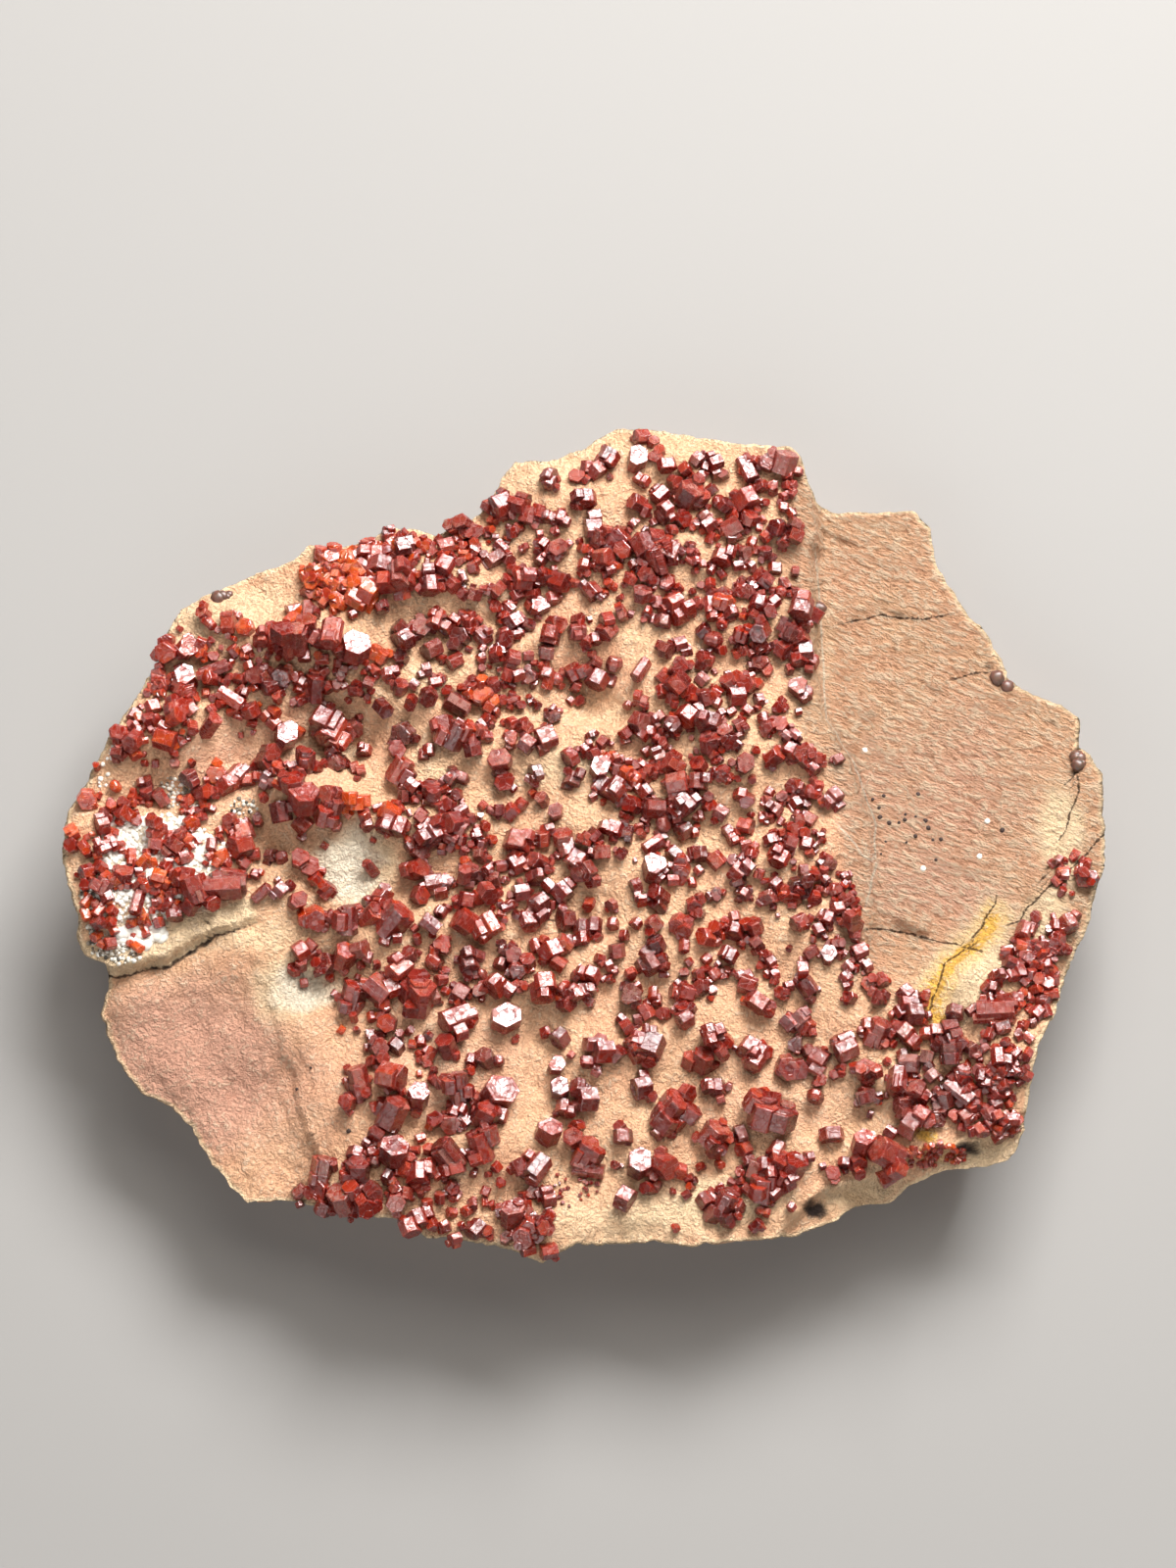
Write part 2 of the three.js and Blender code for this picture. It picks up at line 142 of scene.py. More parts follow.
def paint(piece, name, values):
    """Stores one number, or one vector, for each point of a piece as a named attribute."""
    kind, field = ("FLOAT", "value") if values.ndim == 1 else ("FLOAT_VECTOR", "vector")
    attribute = piece.data.attributes.new(name, kind, "POINT")
    attribute.data.foreach_set(field, values.astype(np.float32).ravel())


def paint_faces(piece, name, values):
    """Stores one number for each face of a piece as a named attribute."""
    attribute = piece.data.attributes.new(name, "FLOAT", "FACE")
    attribute.data.foreach_set("value", values.astype(np.float32).ravel())


class Wiring:
    """Short way to add shader nodes to one material and to join them."""

    def __init__(self, tree):
        self.tree = tree

    def add(self, kind, settings=None, **inputs):
        """New node. Settings are its properties, and inputs are numbers, colours or outputs."""
        node = self.tree.nodes.new(kind)
        for key, value in (settings or {}).items():
            setattr(node, key, value)
        for key, value in inputs.items():
            self.feed(node, key, value)
        return node

    def feed(self, node, key, value):
        """Sets or links one input, named in words or as i0, i1 and so on."""
        socket = node.inputs[int(key[1:]) if key[1:].isdigit() else key.replace("_", " ")]
        if isinstance(value, bpy.types.NodeSocket):
            self.tree.links.new(value, socket)
        else:
            socket.default_value = value

    def mix(self, share, first, second, blend="MIX"):
        """Blend of two colours by a share."""
        node = self.add("ShaderNodeMix", {"data_type": "RGBA", "blend_type": blend})
        self.feed(node, "i0", share)
        self.feed(node, "i6", first)
        self.feed(node, "i7", second)
        return node.outputs[2]

    def math(self, operation, first, second=0.0, clamp=False):
        """One calculation on one or two values."""
        node = self.add("ShaderNodeMath", {"operation": operation, "use_clamp": clamp})
        self.feed(node, "i0", first)
        self.feed(node, "i1", second)
        return node.outputs[0]

    def plus(self, first, second, clamp=False):
        """Sum of two values."""
        return self.math("ADD", first, second, clamp)

    def minus(self, first, second, clamp=False):
        """Difference of two values."""
        return self.math("SUBTRACT", first, second, clamp)

    def times(self, first, second, clamp=False):
        """Product of two values."""
        return self.math("MULTIPLY", first, second, clamp)

    def noise(self, place, scale, detail, roughness):
        """Cloudy value from 0 to 1; the scale is in cells to one unit of the place."""
        settings = {"Vector": place, "Scale": scale, "Detail": detail, "Roughness": roughness}
        return self.add("ShaderNodeTexNoise", **settings).outputs[0]

    def ramp(self, value, low, high):
        """0 below low, 1 above high and a smooth rise between."""
        node = self.add("ShaderNodeMapRange", {"interpolation_type": "SMOOTHSTEP"}, Value=value)
        self.feed(node, "i1", low)
        self.feed(node, "i2", high)
        return node.outputs[0]

    def tones(self, value, stops):
        """Colour picked by a value from stops, each a place from 0 to 1 and a colour."""
        node = self.add("ShaderNodeValToRGB", Fac=value)
        elements = node.color_ramp.elements
        elements[0].color, elements[1].color = stops[0][1], stops[-1][1]
        for place, colour in stops[1:-1]:
            elements.new(place).color = colour
        return node.outputs[0]

    def vector(self, operation, first, second):
        """One calculation on two vectors, as a node."""
        return self.add("ShaderNodeVectorMath", {"operation": operation}, i0=first, i1=second)

    def field(self, name):
        """A named attribute's value."""
        return self.add("ShaderNodeAttribute", {"attribute_name": name}).outputs["Fac"]


def new_material(name):
    """Empty material with a Principled shader, and the wiring of its nodes."""
    material = bpy.data.materials.new(name)
    material.use_nodes = True
    wiring = Wiring(material.node_tree)
    return material, wiring, material.node_tree.nodes["Principled BSDF"]


def set_inputs(shader, **values):
    """Sets a shader's own inputs, each named with _ for a space."""
    for key, value in values.items():
        shader.inputs[key.replace("_", " ")].default_value = value


FLOOR_REACH = 3000.0
FLOOR_COLOUR = (0.35, 0.34, 0.329, 1.0)

floor_material, _, floor_shader = new_material("table_top")
set_inputs(floor_shader, Base_Color=FLOOR_COLOUR, Roughness=0.9)
floor_points = FLOOR_REACH * np.array([[-1, -1, 0], [1, -1, 0], [1, 1, 0], [-1, 1, 0]])
floor = new_piece("floor", floor_points, [np.array([[0, 1, 2, 3]])], floor_material)

# ---------------------------------------------------------------------------------------------
# Matrix
# One slab of fine sandstone, split along its bedding. Its face steps down over broken ledges,
# its edge is rough, and its wall recedes to a flat underside.
# ---------------------------------------------------------------------------------------------

FACE_LEVEL = 18.5
RIM_DROP = 0.7
RIM_START = 0.92
UNDERCUT = 8.0
WALL_BULGE = 1.6

# The rim: x and y in mm, anticlockwise from the right.
OUTLINE = [
    (75, 0), (75, 5), (74.8, 10), (73.8, 13), (71.5, 15), (72, 19), (70, 20.5), (65, 23), (61.5, 25.5),
    (60.5, 28.5), (59, 32), (56, 35.5), (53, 40), (51.2, 44.5), (50.3, 48.5), (48, 51.3), (44, 51),
    (40, 51), (36, 50.6), (33.6, 52), (32.3, 55), (31.5, 58), (30, 59.5), (25, 60), (20, 60.5),
    (14, 61.4), (8, 62.6), (4, 62.3), (1.5, 60.8), (0, 59.3), (-5, 57.4), (-10, 57.2), (-11.8, 55),
    (-13.2, 52), (-15, 49.3), (-18.5, 47.8), (-21.5, 45.8), (-24.5, 46.9), (-28, 47.2), (-31, 45.4),
    (-36, 44), (-40, 44.3), (-42, 42), (-47, 40.3), (-51, 38.7), (-54.5, 36.8), (-58.5, 34.8),
    (-60.3, 31.5), (-61.5, 27), (-65, 21.5), (-68, 16), (-70, 12), (-72.5, 7.5), (-74.4, 4), (-75, 0),
    (-74.6, -4), (-73.7, -8), (-72.6, -11.5), (-73, -14.5), (-71.5, -17), (-68.6, -18.2), (-68.2, -21),
    (-69, -25), (-68, -29), (-66, -33), (-63, -36.5), (-59, -38.5), (-56, -41.5), (-53, -46.5),
    (-50, -50.5), (-48, -52.5), (-44, -52.2), (-40, -52.6), (-34, -54.5), (-27, -55.5), (-22, -58.4),
    (-16, -58.8), (-11, -59.6), (-6, -61.8), (-3.4, -60.6), (-1, -59.2), (5, -58.9), (11, -58.9),
    (15, -59.8), (19, -59.2), (25, -58.6), (31, -57.2), (36, -55.4), (39.5, -52.8), (44, -52.4),
    (46, -50.2), (51, -48.2), (57, -47.2), (61, -46.4), (63, -42.5), (63.5, -37), (64.8, -31),
    (67.5, -25.5), (69.5, -19.5), (72, -14), (73.2, -8.5), (74.6, -3.5),
]

# Rises and hollows of the face: x, y, half length, half width, height, turn in degrees.
SWELLS = [
    (-39, 28, 11, 5, 4.5, -10), (-28, 38, 9, 5, 3, 20), (-33, 15, 8, 5, -3.5, 0),
    (-42, 6, 7, 3.5, 3, 10), (-28, 3, 9, 3, 2, -12), (-34, -5, 6, 5, -2.4, 0),
    (-58, 18, 9, 7, 2.4, 30), (-49, 14, 4, 6, -2.4, 20), (-46.5, 3, 2.6, 6, -1.8, 5),
    (-61, 7, 5, 4, -2, 0), (-64, -6, 8, 6, 1.2, 0), (-38, -22, 7, 7, -2.6, 0),
    (2.5, 20, 5.5, 3, -2.4, 8), (-4, 24, 8, 3, -0.8, 0), (8, 45, 14, 8, 1.6, 0),
    (22, 46, 6, 4, -1.4, 0), (24, 16, 9, 6, 1.6, 0), (30, -6, 6, 8, 1.4, 0),
    (5, -3, 10, 5, 1.2, 0), (-14, 14, 7, 4, 1.4, 0), (-6, -16, 14, 6, 0.9, 0),
    (-26, -40, 7, 12, 1.6, 20), (60, -28, 8, 14, 1.6, -12), (48, 22, 14, 16, -1.2, 0),
    (-58, -32, 10, 10, -0.8, 0), (14, -52, 14, 5, -1, 0), (38, -50, 8, 2.5, -1.8, 0),
]

# Breaks between layers: points x, y, drop. The ground on the right-hand side, going along the
# line, is lower by the drop, or higher where it is negative.
LEDGES = [
    [(38, -30, 0), (40, -16, 0.8), (41.5, -6, 1.4), (41, 4, 2), (38.5, 13, 2.6), (34.5, 20, 3.2),
     (32.8, 28, 3.6), (33.2, 37, 4), (34, 46, 4), (33.8, 52, 4), (32.4, 60, 4), (31, 70, 4)],
    [(-84, -20, 3.6), (-73, -17.6, 3.6), (-67, -18.4, 3.4), (-60, -17, 3), (-54, -14, 2.2),
     (-49, -12, 1.2), (-44, -10.8, 0)],
    [(24, -64, 2.2), (29, -55.5, 2.2), (34, -51.4, 2.4), (40, -49.6, 2.4), (45, -47.6, 2.2),
     (49, -45.2, 2), (56, -44.6, 1.8), (61, -42, 1.2), (70, -36, 1)],
    [(47, -33, 0), (49.8, -25.5, -0.5), (52, -19.5, -0.7), (57, -14.5, -0.8), (62.5, -10.5, -0.8),
     (68, -1, -0.8), (70.8, 8, -0.7), (71.5, 24, -0.5)],
    [(8.5, 16.6, 0.3), (4, 17.2, 0.7), (-2, 17.6, 0.7), (-6, 18.2, 0.2)],
    [(-24, 20.6, 0.3), (-30, 22.4, 0.8), (-35, 24.6, 0.6), (-37, 26.6, 0.2)],
]

LEDGE_WIDTHS = (1.7, 0.7, 1.2, 0.8, 0.6, 0.6)

# Low waves in the bedding: how fast each turns along x and y, its start and its height.
WAVES = [
    (0.31, 0.17, 0.4, 0.45), (-0.22, 0.36, 2.1, 0.4), (0.11, -0.52, 4.0, 0.3), (0.63, 0.41, 1.3, 0.10),
]
LATTICE = 64
LATTICE_TURN = np.array([[0.80, 0.36, -0.48], [-0.60, 0.48, -0.64], [0.0, 0.80, 0.60]])
LATTICE_START = 17.3


def smoothstep(value, low, high):
    """0 below low, 1 above high, and 3t squared less 2t cubed between."""
    t = np.clip((value - low) / (high - low), 0.0, 1.0)
    return t * t * (3.0 - 2.0 * t)


def lattice_noise(points, cell, seed):
    """Value from 0 to 1: random numbers on a turned cubic lattice of the cell's size, each pair
    of neighbours joined by a smoothstep along each axis."""
    table = np.random.default_rng(seed).random((LATTICE, LATTICE, LATTICE))
    place = points @ LATTICE_TURN / cell + LATTICE_START
    whole = np.floor(place).astype(int)
    part = place - whole
    part = part * part * (3.0 - 2.0 * part)
    total = np.zeros(len(points))
    for corner in np.ndindex(2, 2, 2):
        share = np.prod(np.where(corner, part, 1.0 - part), axis=1)
        node = (whole + corner) % LATTICE
        total += share * table[node[:, 0], node[:, 1], node[:, 2]]
    return total


def rough(points, cell, octaves, seed, falloff=0.5):
    """Sum of lattice noises, each half the cell of the one before and weaker by the falloff,
    scaled to run -1 to 1."""
    total = np.zeros(len(points))
    weight, size = 1.0, 0.0
    for octave in range(octaves):
        total += weight * (2.0 * lattice_noise(points, cell / 2**octave, seed + octave) - 1.0)
        size += weight
        weight *= falloff
    return total / size


def flat_points(x, y, z=0.0):
    """Points (x, y, z) as rows, with one z for all or one for each."""
    return np.stack([x, y, np.broadcast_to(z, np.shape(x))], axis=-1)


OUTLINE_STEPS = 2880
OUTLINE_SMOOTHING = 5
RIM_ROUGHNESS = 0.9

# The rim at even steps, smoothed and then broken up, as an angle and a distance for each point.
outline_points = np.array(OUTLINE, dtype=float)
outline_loop = np.vstack([outline_points, outline_points[:1]])
outline_run = np.r_[0.0, np.cumsum(np.linalg.norm(np.diff(outline_loop, axis=0), axis=1))]
even_run = np.linspace(0.0, outline_run[-1], OUTLINE_STEPS + 1)[:-1]
even = np.stack([np.interp(even_run, outline_run, outline_loop[:, k]) for k in (0, 1)], axis=1)
for _ in range(OUTLINE_SMOOTHING):
    even = 0.5 * even + 0.25 * (np.roll(even, 1, axis=0) + np.roll(even, -1, axis=0))
even_angle = np.arctan2(even[:, 1], even[:, 0])
even_order = np.argsort(even_angle)
even_radius = np.hypot(even[:, 0], even[:, 1])[even_order]
even_radius += RIM_ROUGHNESS * rough(flat_points(*even[even_order].T), 4.0, 5, 5, 0.75)
even_angle = even_angle[even_order]


def rim_radius(angle):
    """Distance from the middle to the rim in a direction."""
    return np.interp(angle, even_angle, even_radius, period=2.0 * math.pi)


def along_line(line, x, y):
    """For each point: the distance to the nearest part of a line, which side of it the point
    is on (1 to the left), how far along the line, in segments, and the line's third value."""
    line = np.array(line, dtype=float)
    best = np.full(x.shape, 1e9)
    side, reach, value = np.ones_like(x), np.zeros_like(x), np.zeros_like(x)
    for n, (a, b) in enumerate(zip(line[:-1], line[1:])):
        step = b[:2] - a[:2]
        share = np.clip(((x - a[0]) * step[0] + (y - a[1]) * step[1]) / (step @ step), 0.0, 1.0)
        gap = np.hypot(x - a[0] - share * step[0], y - a[1] - share * step[1])
        near = gap < best
        best = np.where(near, gap, best)
        turn = np.where(step[0] * (y - a[1]) - step[1] * (x - a[0]) >= 0.0, 1.0, -1.0)
        side = np.where(near, turn, side)
        reach = np.where(near, n + share, reach)
        if line.shape[1] > 2:
            value = np.where(near, a[2] + share * (b[2] - a[2]), value)
    return best, side, reach, value


def shaken(x, y):
    """Plan positions moved about by cloudy noise, which makes a straight ledge a broken one."""
    place = flat_points(x, y)
    return x + 1.4 * rough(place, 5.0, 4, 11, 0.65), y + 1.4 * rough(place, 5.0, 4, 21, 0.65)


def ellipse_distance(x, y, middle_x, middle_y, length, width, turn):
    """Square of the distance from the middle of a turned ellipse, in half lengths along it and
    half widths across it."""
    c, s = math.cos(math.radians(turn)), math.sin(math.radians(turn))
    along = ((x - middle_x) * c + (y - middle_y) * s) / length
    across = ((y - middle_y) * c - (x - middle_x) * s) / width
    return along**2 + across**2


def broad_height(x, y):
    """Height of the face without its grain: level, less the fall to the rim, with the swells,
    ledges and bedding waves added."""
    share = np.hypot(x, y) / rim_radius(np.arctan2(y, x))
    z = FACE_LEVEL - RIM_DROP * smoothstep(share, RIM_START, 1.0) ** 2
    for middle_x, middle_y, length, width, height, turn in SWELLS:
        z = z + height * np.exp(-ellipse_distance(x, y, middle_x, middle_y, length, width, turn))
    shaken_x, shaken_y = shaken(x, y)
    for line, width in zip(LEDGES, LEDGE_WIDTHS):
        gap, side, _, drop = along_line(line, shaken_x, shaken_y)
        z = z - drop * smoothstep(-side * gap, -0.3 * width, 0.7 * width)
    for kx, ky, phase, height in WAVES:
        z = z + height * np.sin(kx * x + ky * y + phase)
    return z


def bareness(x, y):
    """1 on the bare lobe right of the first ledge and 0 left of it and at the front, with a
    smoothstep between."""
    gap, side, _, _ = along_line(LEDGES[0], x, y)
    return smoothstep(-side * gap, -6.0, -2.0) * smoothstep(y, -30.0, -10.0)


RIPPLE_TURN = math.radians(-24.0)
RIPPLE_DRAW = 2.4
FLAKE_LEVELS = (-0.28, -0.1, 0.07, 0.24)


def grain_height(x, y):
    """Grain and thin flakes of the face. A flake is a step where a cloudy value passes a level.
    The bare ground on the right has ripples drawn out from upper left to lower right."""
    place = flat_points(x, y)
    bare = bareness(x, y)
    cloud = rough(place, 9.0, 4, 31, 0.55)
    flakes = sum(smoothstep(cloud, level, level + 0.03) for level in FLAKE_LEVELS)
    c, s = math.cos(RIPPLE_TURN), math.sin(RIPPLE_TURN)
    drawn = flat_points((x * c + y * s) / RIPPLE_DRAW, -x * s + y * c)
    ripples = rough(drawn, 1.2, 2, 41, 0.95)
    fine = rough(place, 1.5, 2, 51, 0.8)
    plain = 0.18 * flakes + 0.30 * fine + 0.25 * rough(place, 4.5, 2, 61)
    rippled = 0.52 * ripples * (1.0 + 1.1 * cloud) + 0.26 * fine + 0.10 * rough(place, 7.0, 2, 65)
    return plain * (1.0 - bare) + rippled * bare


def face_height(x, y):
    """Height of the finished face."""
    return broad_height(x, y) + grain_height(x, y)


def between_rings(upper, below):
    """Four-cornered faces between rows of rings whose points are numbered anticlockwise."""
    quads = np.stack([upper, below, np.roll(below, -1, axis=1), np.roll(upper, -1, axis=1)], axis=-1)
    return quads.reshape(-1, 4)


GRID = (290, 256)
WALL_RINGS = 17
BASE_RINGS = 5
BED_LEVELS = (-0.4, -0.2, 0.0, 0.2, 0.4)
BED_DRAW = 0.35
CHIP_DRAW = np.array([2.86, 2.86, 1.0])

# The face is a square grid pressed into a round one, then drawn out to the rim.
s_axis, t_axis = np.linspace(-1.0, 1.0, GRID[0] + 1), np.linspace(-1.0, 1.0, GRID[1] + 1)
t_grid, s_grid = np.meshgrid(t_axis, s_axis, indexing="ij")
u_grid, v_grid = s_grid * np.sqrt(1.0 - t_grid**2 / 2.0), t_grid * np.sqrt(1.0 - s_grid**2 / 2.0)
plan_angle = np.arctan2(v_grid, u_grid)
plan_radius = np.hypot(u_grid, v_grid) * rim_radius(plan_angle)
face_x, face_y = (plan_radius * np.cos(plan_angle)).ravel(), (plan_radius * np.sin(plan_angle)).ravel()
face_z = face_height(face_x, face_y)

number = np.arange(len(face_x)).reshape(GRID[1] + 1, GRID[0] + 1)
face_quads = np.stack([number[:-1, :-1], number[:-1, 1:], number[1:, 1:], number[1:, :-1]], axis=-1)
rim = np.r_[number[0, :-1], number[:-1, -1], number[-1, :0:-1], number[:0:-1, 0]]
rim_x, rim_y, rim_z = face_x[rim], face_y[rim], face_z[rim]
rim_angle, rim_out = np.arctan2(rim_y, rim_x), np.hypot(rim_x, rim_y)

# The wall goes down from the rim in rings that draw in, with a step at each bed and broken chips
# out of it, and the underside closes to a point in the middle.
depth = (np.arange(1, WALL_RINGS + 1) / WALL_RINGS)[:, None] ** 1.15
ring_z = rim_z * (1.0 - depth)
wall_x, wall_y = np.broadcast_to(rim_x, ring_z.shape), np.broadcast_to(rim_y, ring_z.shape)
wall_place = flat_points(wall_x * BED_DRAW, wall_y * BED_DRAW, ring_z).reshape(-1, 3)
beds = rough(wall_place, 3.0, 3, 71, 0.6).reshape(ring_z.shape)
bed_steps = sum(smoothstep(beds, level, level + 0.08) for level in BED_LEVELS) - 0.5 * len(BED_LEVELS)
chips = rough(wall_place * CHIP_DRAW, 2.6, 3, 81, 0.6).reshape(ring_z.shape)
held = np.sin(np.pi * np.clip(depth, 0.0, 1.0)) ** 0.4
ring_out = rim_out - UNDERCUT * depth**WALL_BULGE + held * (0.55 * bed_steps + chips - 1.7)
base_out = ring_out[-1] * (1.0 - np.arange(1, BASE_RINGS)[:, None] / BASE_RINGS)
base_place = flat_points(base_out * np.cos(rim_angle), base_out * np.sin(rim_angle)).reshape(-1, 3)
base_z = 0.3 * lattice_noise(base_place, 3.0, 91).reshape(base_out.shape)
lower_out = np.vstack([ring_out, base_out])
lower_z = np.vstack([ring_z, base_z])
lower = flat_points(lower_out * np.cos(rim_angle), lower_out * np.sin(rim_angle), lower_z)

ring_number = len(face_x) + np.arange(lower_out.size).reshape(lower_out.shape)
all_rings = np.vstack([rim, ring_number])
wall_quads = between_rings(all_rings[:-1], all_rings[1:])
centre_number = len(face_x) + lower_out.size
last = all_rings[-1]
centre_fan = np.stack([last, np.full_like(last, centre_number), np.roll(last, -1)], axis=-1)
rock_points = np.vstack([flat_points(face_x, face_y, face_z), lower.reshape(-1, 3), [[0.0, 0.0, 0.0]]])

# Stains on the face, and one patch of painted shade: x, y, half length, half width, turn in degrees,
# strength.
STAINS = {
    "chalk": [
        (-62, -3, 9, 7, 10, 1), (-64, -13, 5, 3, 12, 1), (-55, -5, 4, 5, 0, 0.8),
        (-33.5, -3.8, 6, 7, 10, 0.75), (-40.5, -22, 6.5, 4.5, 0, 0.75),
    ],
    "pale_and_painted_light": [
        (-33, -3.5, 7, 5.5, 0, 1), (-42, -22, 6.5, 5.5, 0, 0.9), (-3, 11, 9, 3.5, 0, 0.55),
        (-64, -3, 8, 8, 0, 1), (-55, -4, 5, 6, 0, 0.6), (-60, -14, 8, 3, 10, 0.7),
        (20, -53, 10, 4.5, 5, 0.8), (55, -20, 6, 9, -35, 0.95), (-37, 15, 6, 5, 0, 0.5),
        (-24, 11, 7, 4, 0, 0.45), (2, 20, 6, 4, 0, 0.4), (-52, 34, 12, 4, 20, 0.6),
        (-35, 43, 9, 3, 10, 0.5), (-7, 55, 10, 4, 5, 0.4), (8, 30, 7, 5, 0, 0.25),
        (69, 1, 4, 9, 10, 0.9), (66, -11, 4, 5, -30, 0.9), (55, -20, 5, 6, -35, 0.9),
        (-21, 24, 6, 4, 0, 0.4), (62, -42, 4, 4, 0, 0.4), (34, 30, 2.5, 18, 0, 0.35),
        # The long patch along the front edge, at x 12, is painted light on the edge that turns away from the
        # lamps.
        (12, -55, 22, 5, 3, 0.6), (-58, 8, 6, 5, 0, 0.4), (4, -50, 10, 4, 0, 0.35),
        (-46, -14, 12, 2.5, 8, 0.5), (56, -46.5, 9, 3, 15, 0.7), (40, -51, 8, 3, 15, 0.7),
    ],
    "rose": [
        (-57, -33, 17, 15, 0, 1), (-51, 12, 8, 8, 0, 0.5), (52, 8, 22, 22, 0, 0.5),
        (50, -6, 16, 9, -15, 0.6), (-20, -34, 16, 13, 0, 0.45), (28, -36, 16, 12, 0, 0.4),
        (-45, 24, 9, 6, 0, 0.4), (12, 34, 14, 8, 0, 0.2), (12, -18, 20, 10, 0, 0.3),
        (-42, 14, 8, 8, 0, 0.5), (-45, -36, 14, 14, 0, 0.5),
    ],
    # Painted shade: a grey darkening over the lower left ground.
    "painted_shade": [(-57, -33, 18, 16, 0, 1), (-46, -34, 10, 12, 0, 0.7)],
    "ochre": [
        (49, -44.5, 1.6, 1.2, 0, 0.9), (19, -55, 8, 3, 0, 0.35), (52, -24, 3, 3, 0, 0.35),
        (50, -46.5, 6, 1.4, 5, 0.5), (-22, 32, 8, 6, 0, 0.25), (72, 6, 2.5, 10, 0, 0.3),
        (-64, 12, 6, 3, 40, 0.2),
    ],
    "soot_and_foot_shade": [
        (33, -53.5, 2.9, 1.3, -8, 0.9), (54.5, -45.8, 2.8, 1.1, 10, 0.85), (59.5, 27, 1.6, 1.2, 0, 0.6),
        (33, 14.7, 1.2, 0.9, 0, 0.6), (-70.5, -12.5, 2.6, 4.5, 20, 0.5), (-61, 6, 5, 4, 0, 0.3),
        (24, -57, 3, 1, 0, 0.4),
    ],
}

# Lines on the face, each a row of points x, y: an iron-stained vein, fine cracks, and the pale
# crease where the bare lobe meets the plateau.
OCHRE_VEIN = [(59, -11), (57.8, -13), (56, -15.5), (52.5, -18), (51, -21), (50, -24), (51, -26.5)]
CRACKS = [
    [(75.5, 2), (74.5, 1.3), (72, -2), (69.5, -4.5), (66, -7.5), (64, -9.5), (62.5, -11.5), (60, -12.6)],
    [(67.5, -4), (65, -6.5)],
    [(40, -13.3), (42, -12.6), (46, -13.2), (50, -14.3), (53, -15), (56, -16.3), (58, -16.8)],
    [(71, 15), (70.5, 12), (71, 10.5), (69, 8.7)],
    [(71.5, 13), (71.3, 8), (70.3, 5), (69.5, 2), (68, 0.3)],
    [(-55, -11.5), (-53, -13.2)], [(-6.4, -12.2), (-5, -11.8), (-3.8, -12.3)], [(46.5, -32), (48, -28)],
    [(36, 33.5), (43, 35.3), (49, 34.6), (55, 36.2)], [(52, 24.6), (56, 26.4), (60, 26.8)],
    [(57.1, -14.6), (54.3, -16.5), (51.8, -18.1), (51.2, -20.7), (49.9, -23.6), (49.4, -26)],
    [(59.4, -7.2), (59.1, -9), (57.8, -11), (57, -12.8), (55, -15.4)],
]
CREASES = [
    [(33.5, 47), (34.6, 33), (35, 19), (39, 12), (41, 6), (42, 3), (42, -3), (40, -12)],
    [(36, 3), (38.4, 0.2), (40, -2), (42, -3)],
]


def stain(kind, x, y):
    """Strongest of a kind's patches at each point: 1 in the middle, falling off as a bell."""
    place = flat_points(x, y)
    x = x + 2.2 * rough(place, 7.0, 4, 101, 0.6)
    y = y + 2.2 * rough(place, 7.0, 4, 111, 0.6)
    best = np.zeros_like(x)
    for middle_x, middle_y, length, width, turn, strength in STAINS[kind]:
        distance = ellipse_distance(x, y, middle_x, middle_y, length, width, turn)
        best = np.maximum(best, strength * np.exp(-(distance**1.5)))
    return best


def line_fields(lines, x, y, shake):
    """Signed distance to the nearest of several lines, and 1 near that line, falling to 0 away
    from it and past its ends."""
    place = flat_points(x, y)
    x = x + shake * rough(place, 2.5, 3, 121, 0.6)
    y = y + shake * rough(place, 2.5, 3, 131, 0.6)
    best, signed, near = np.full(x.shape, 1e9), np.full(x.shape, 9.0), np.zeros_like(x)
    for line in lines:
        gap, side, reach, _ = along_line(line, x, y)
        closer = gap < best
        ends = np.minimum(reach, len(line) - 1 - reach)
        fade = smoothstep(ends, 0.0, 0.5) * (1.0 - smoothstep(gap, 0.9, 1.6))
        best = np.where(closer, gap, best)
        signed = np.where(closer, side * gap, signed)
        near = np.where(closer, fade, near)
    return signed, near


rock_x, rock_y = rock_points[:, 0], rock_points[:, 1]
rock_share = np.hypot(rock_x, rock_y) / rim_radius(np.arctan2(rock_y, rock_x))
on_face = np.arange(len(rock_points)) < len(face_x)
crack_side, crack_near = line_fields(CRACKS, rock_x, rock_y, 0.35)
crack_near = crack_near * on_face
crease_side, crease_near = line_fields(CREASES, rock_x, rock_y, 0.3)
vein_shake = [0.9 * rough(rock_points, 2.2, 3, seed, 0.7) for seed in (141, 151)]
vein_gap = along_line(OCHRE_VEIN, rock_x + vein_shake[0], rock_y + vein_shake[1])[0]
groove = 0.25 * crack_near * (1.0 - smoothstep(np.abs(crack_side), 0.1, 0.8))
rock_points[:, 2] -= groove + 0.15 * crease_near * on_face * (1.0 - smoothstep(np.abs(crease_side), 0.1, 0.9))

# The rim is cream. The broken lip of the lower left ledge is cream along its top, with painted light on its
# shaded face, and a painted shade line darkens its foot.
rim_band = smoothstep(rock_share, 0.982, 1.0)
lip_gap, lip_side, _, lip_drop = along_line(LEDGES[1], *shaken(rock_x, rock_y))
above = lip_side * lip_gap
# Painted light: the band reaches down over the ledge's face, which the lamps leave in shade.
lip_and_face_light = smoothstep(above, -0.8, -0.4) * (1.0 - smoothstep(above, 2.4, 3.6)) * smoothstep(lip_drop, 0.2, 1.2)
# Painted shade: a dark line along the ledge's foot.
foot = smoothstep(-above, 0.3, 0.6) * (1.0 - smoothstep(-above, 0.8, 1.5)) * smoothstep(lip_drop, 0.3, 1.2)
halo = 0.8 * (1.0 - smoothstep(vein_gap, 1.2, 5.0))
edge_cream_and_light = np.maximum(np.maximum(0.75 * rim_band, lip_and_face_light), halo)
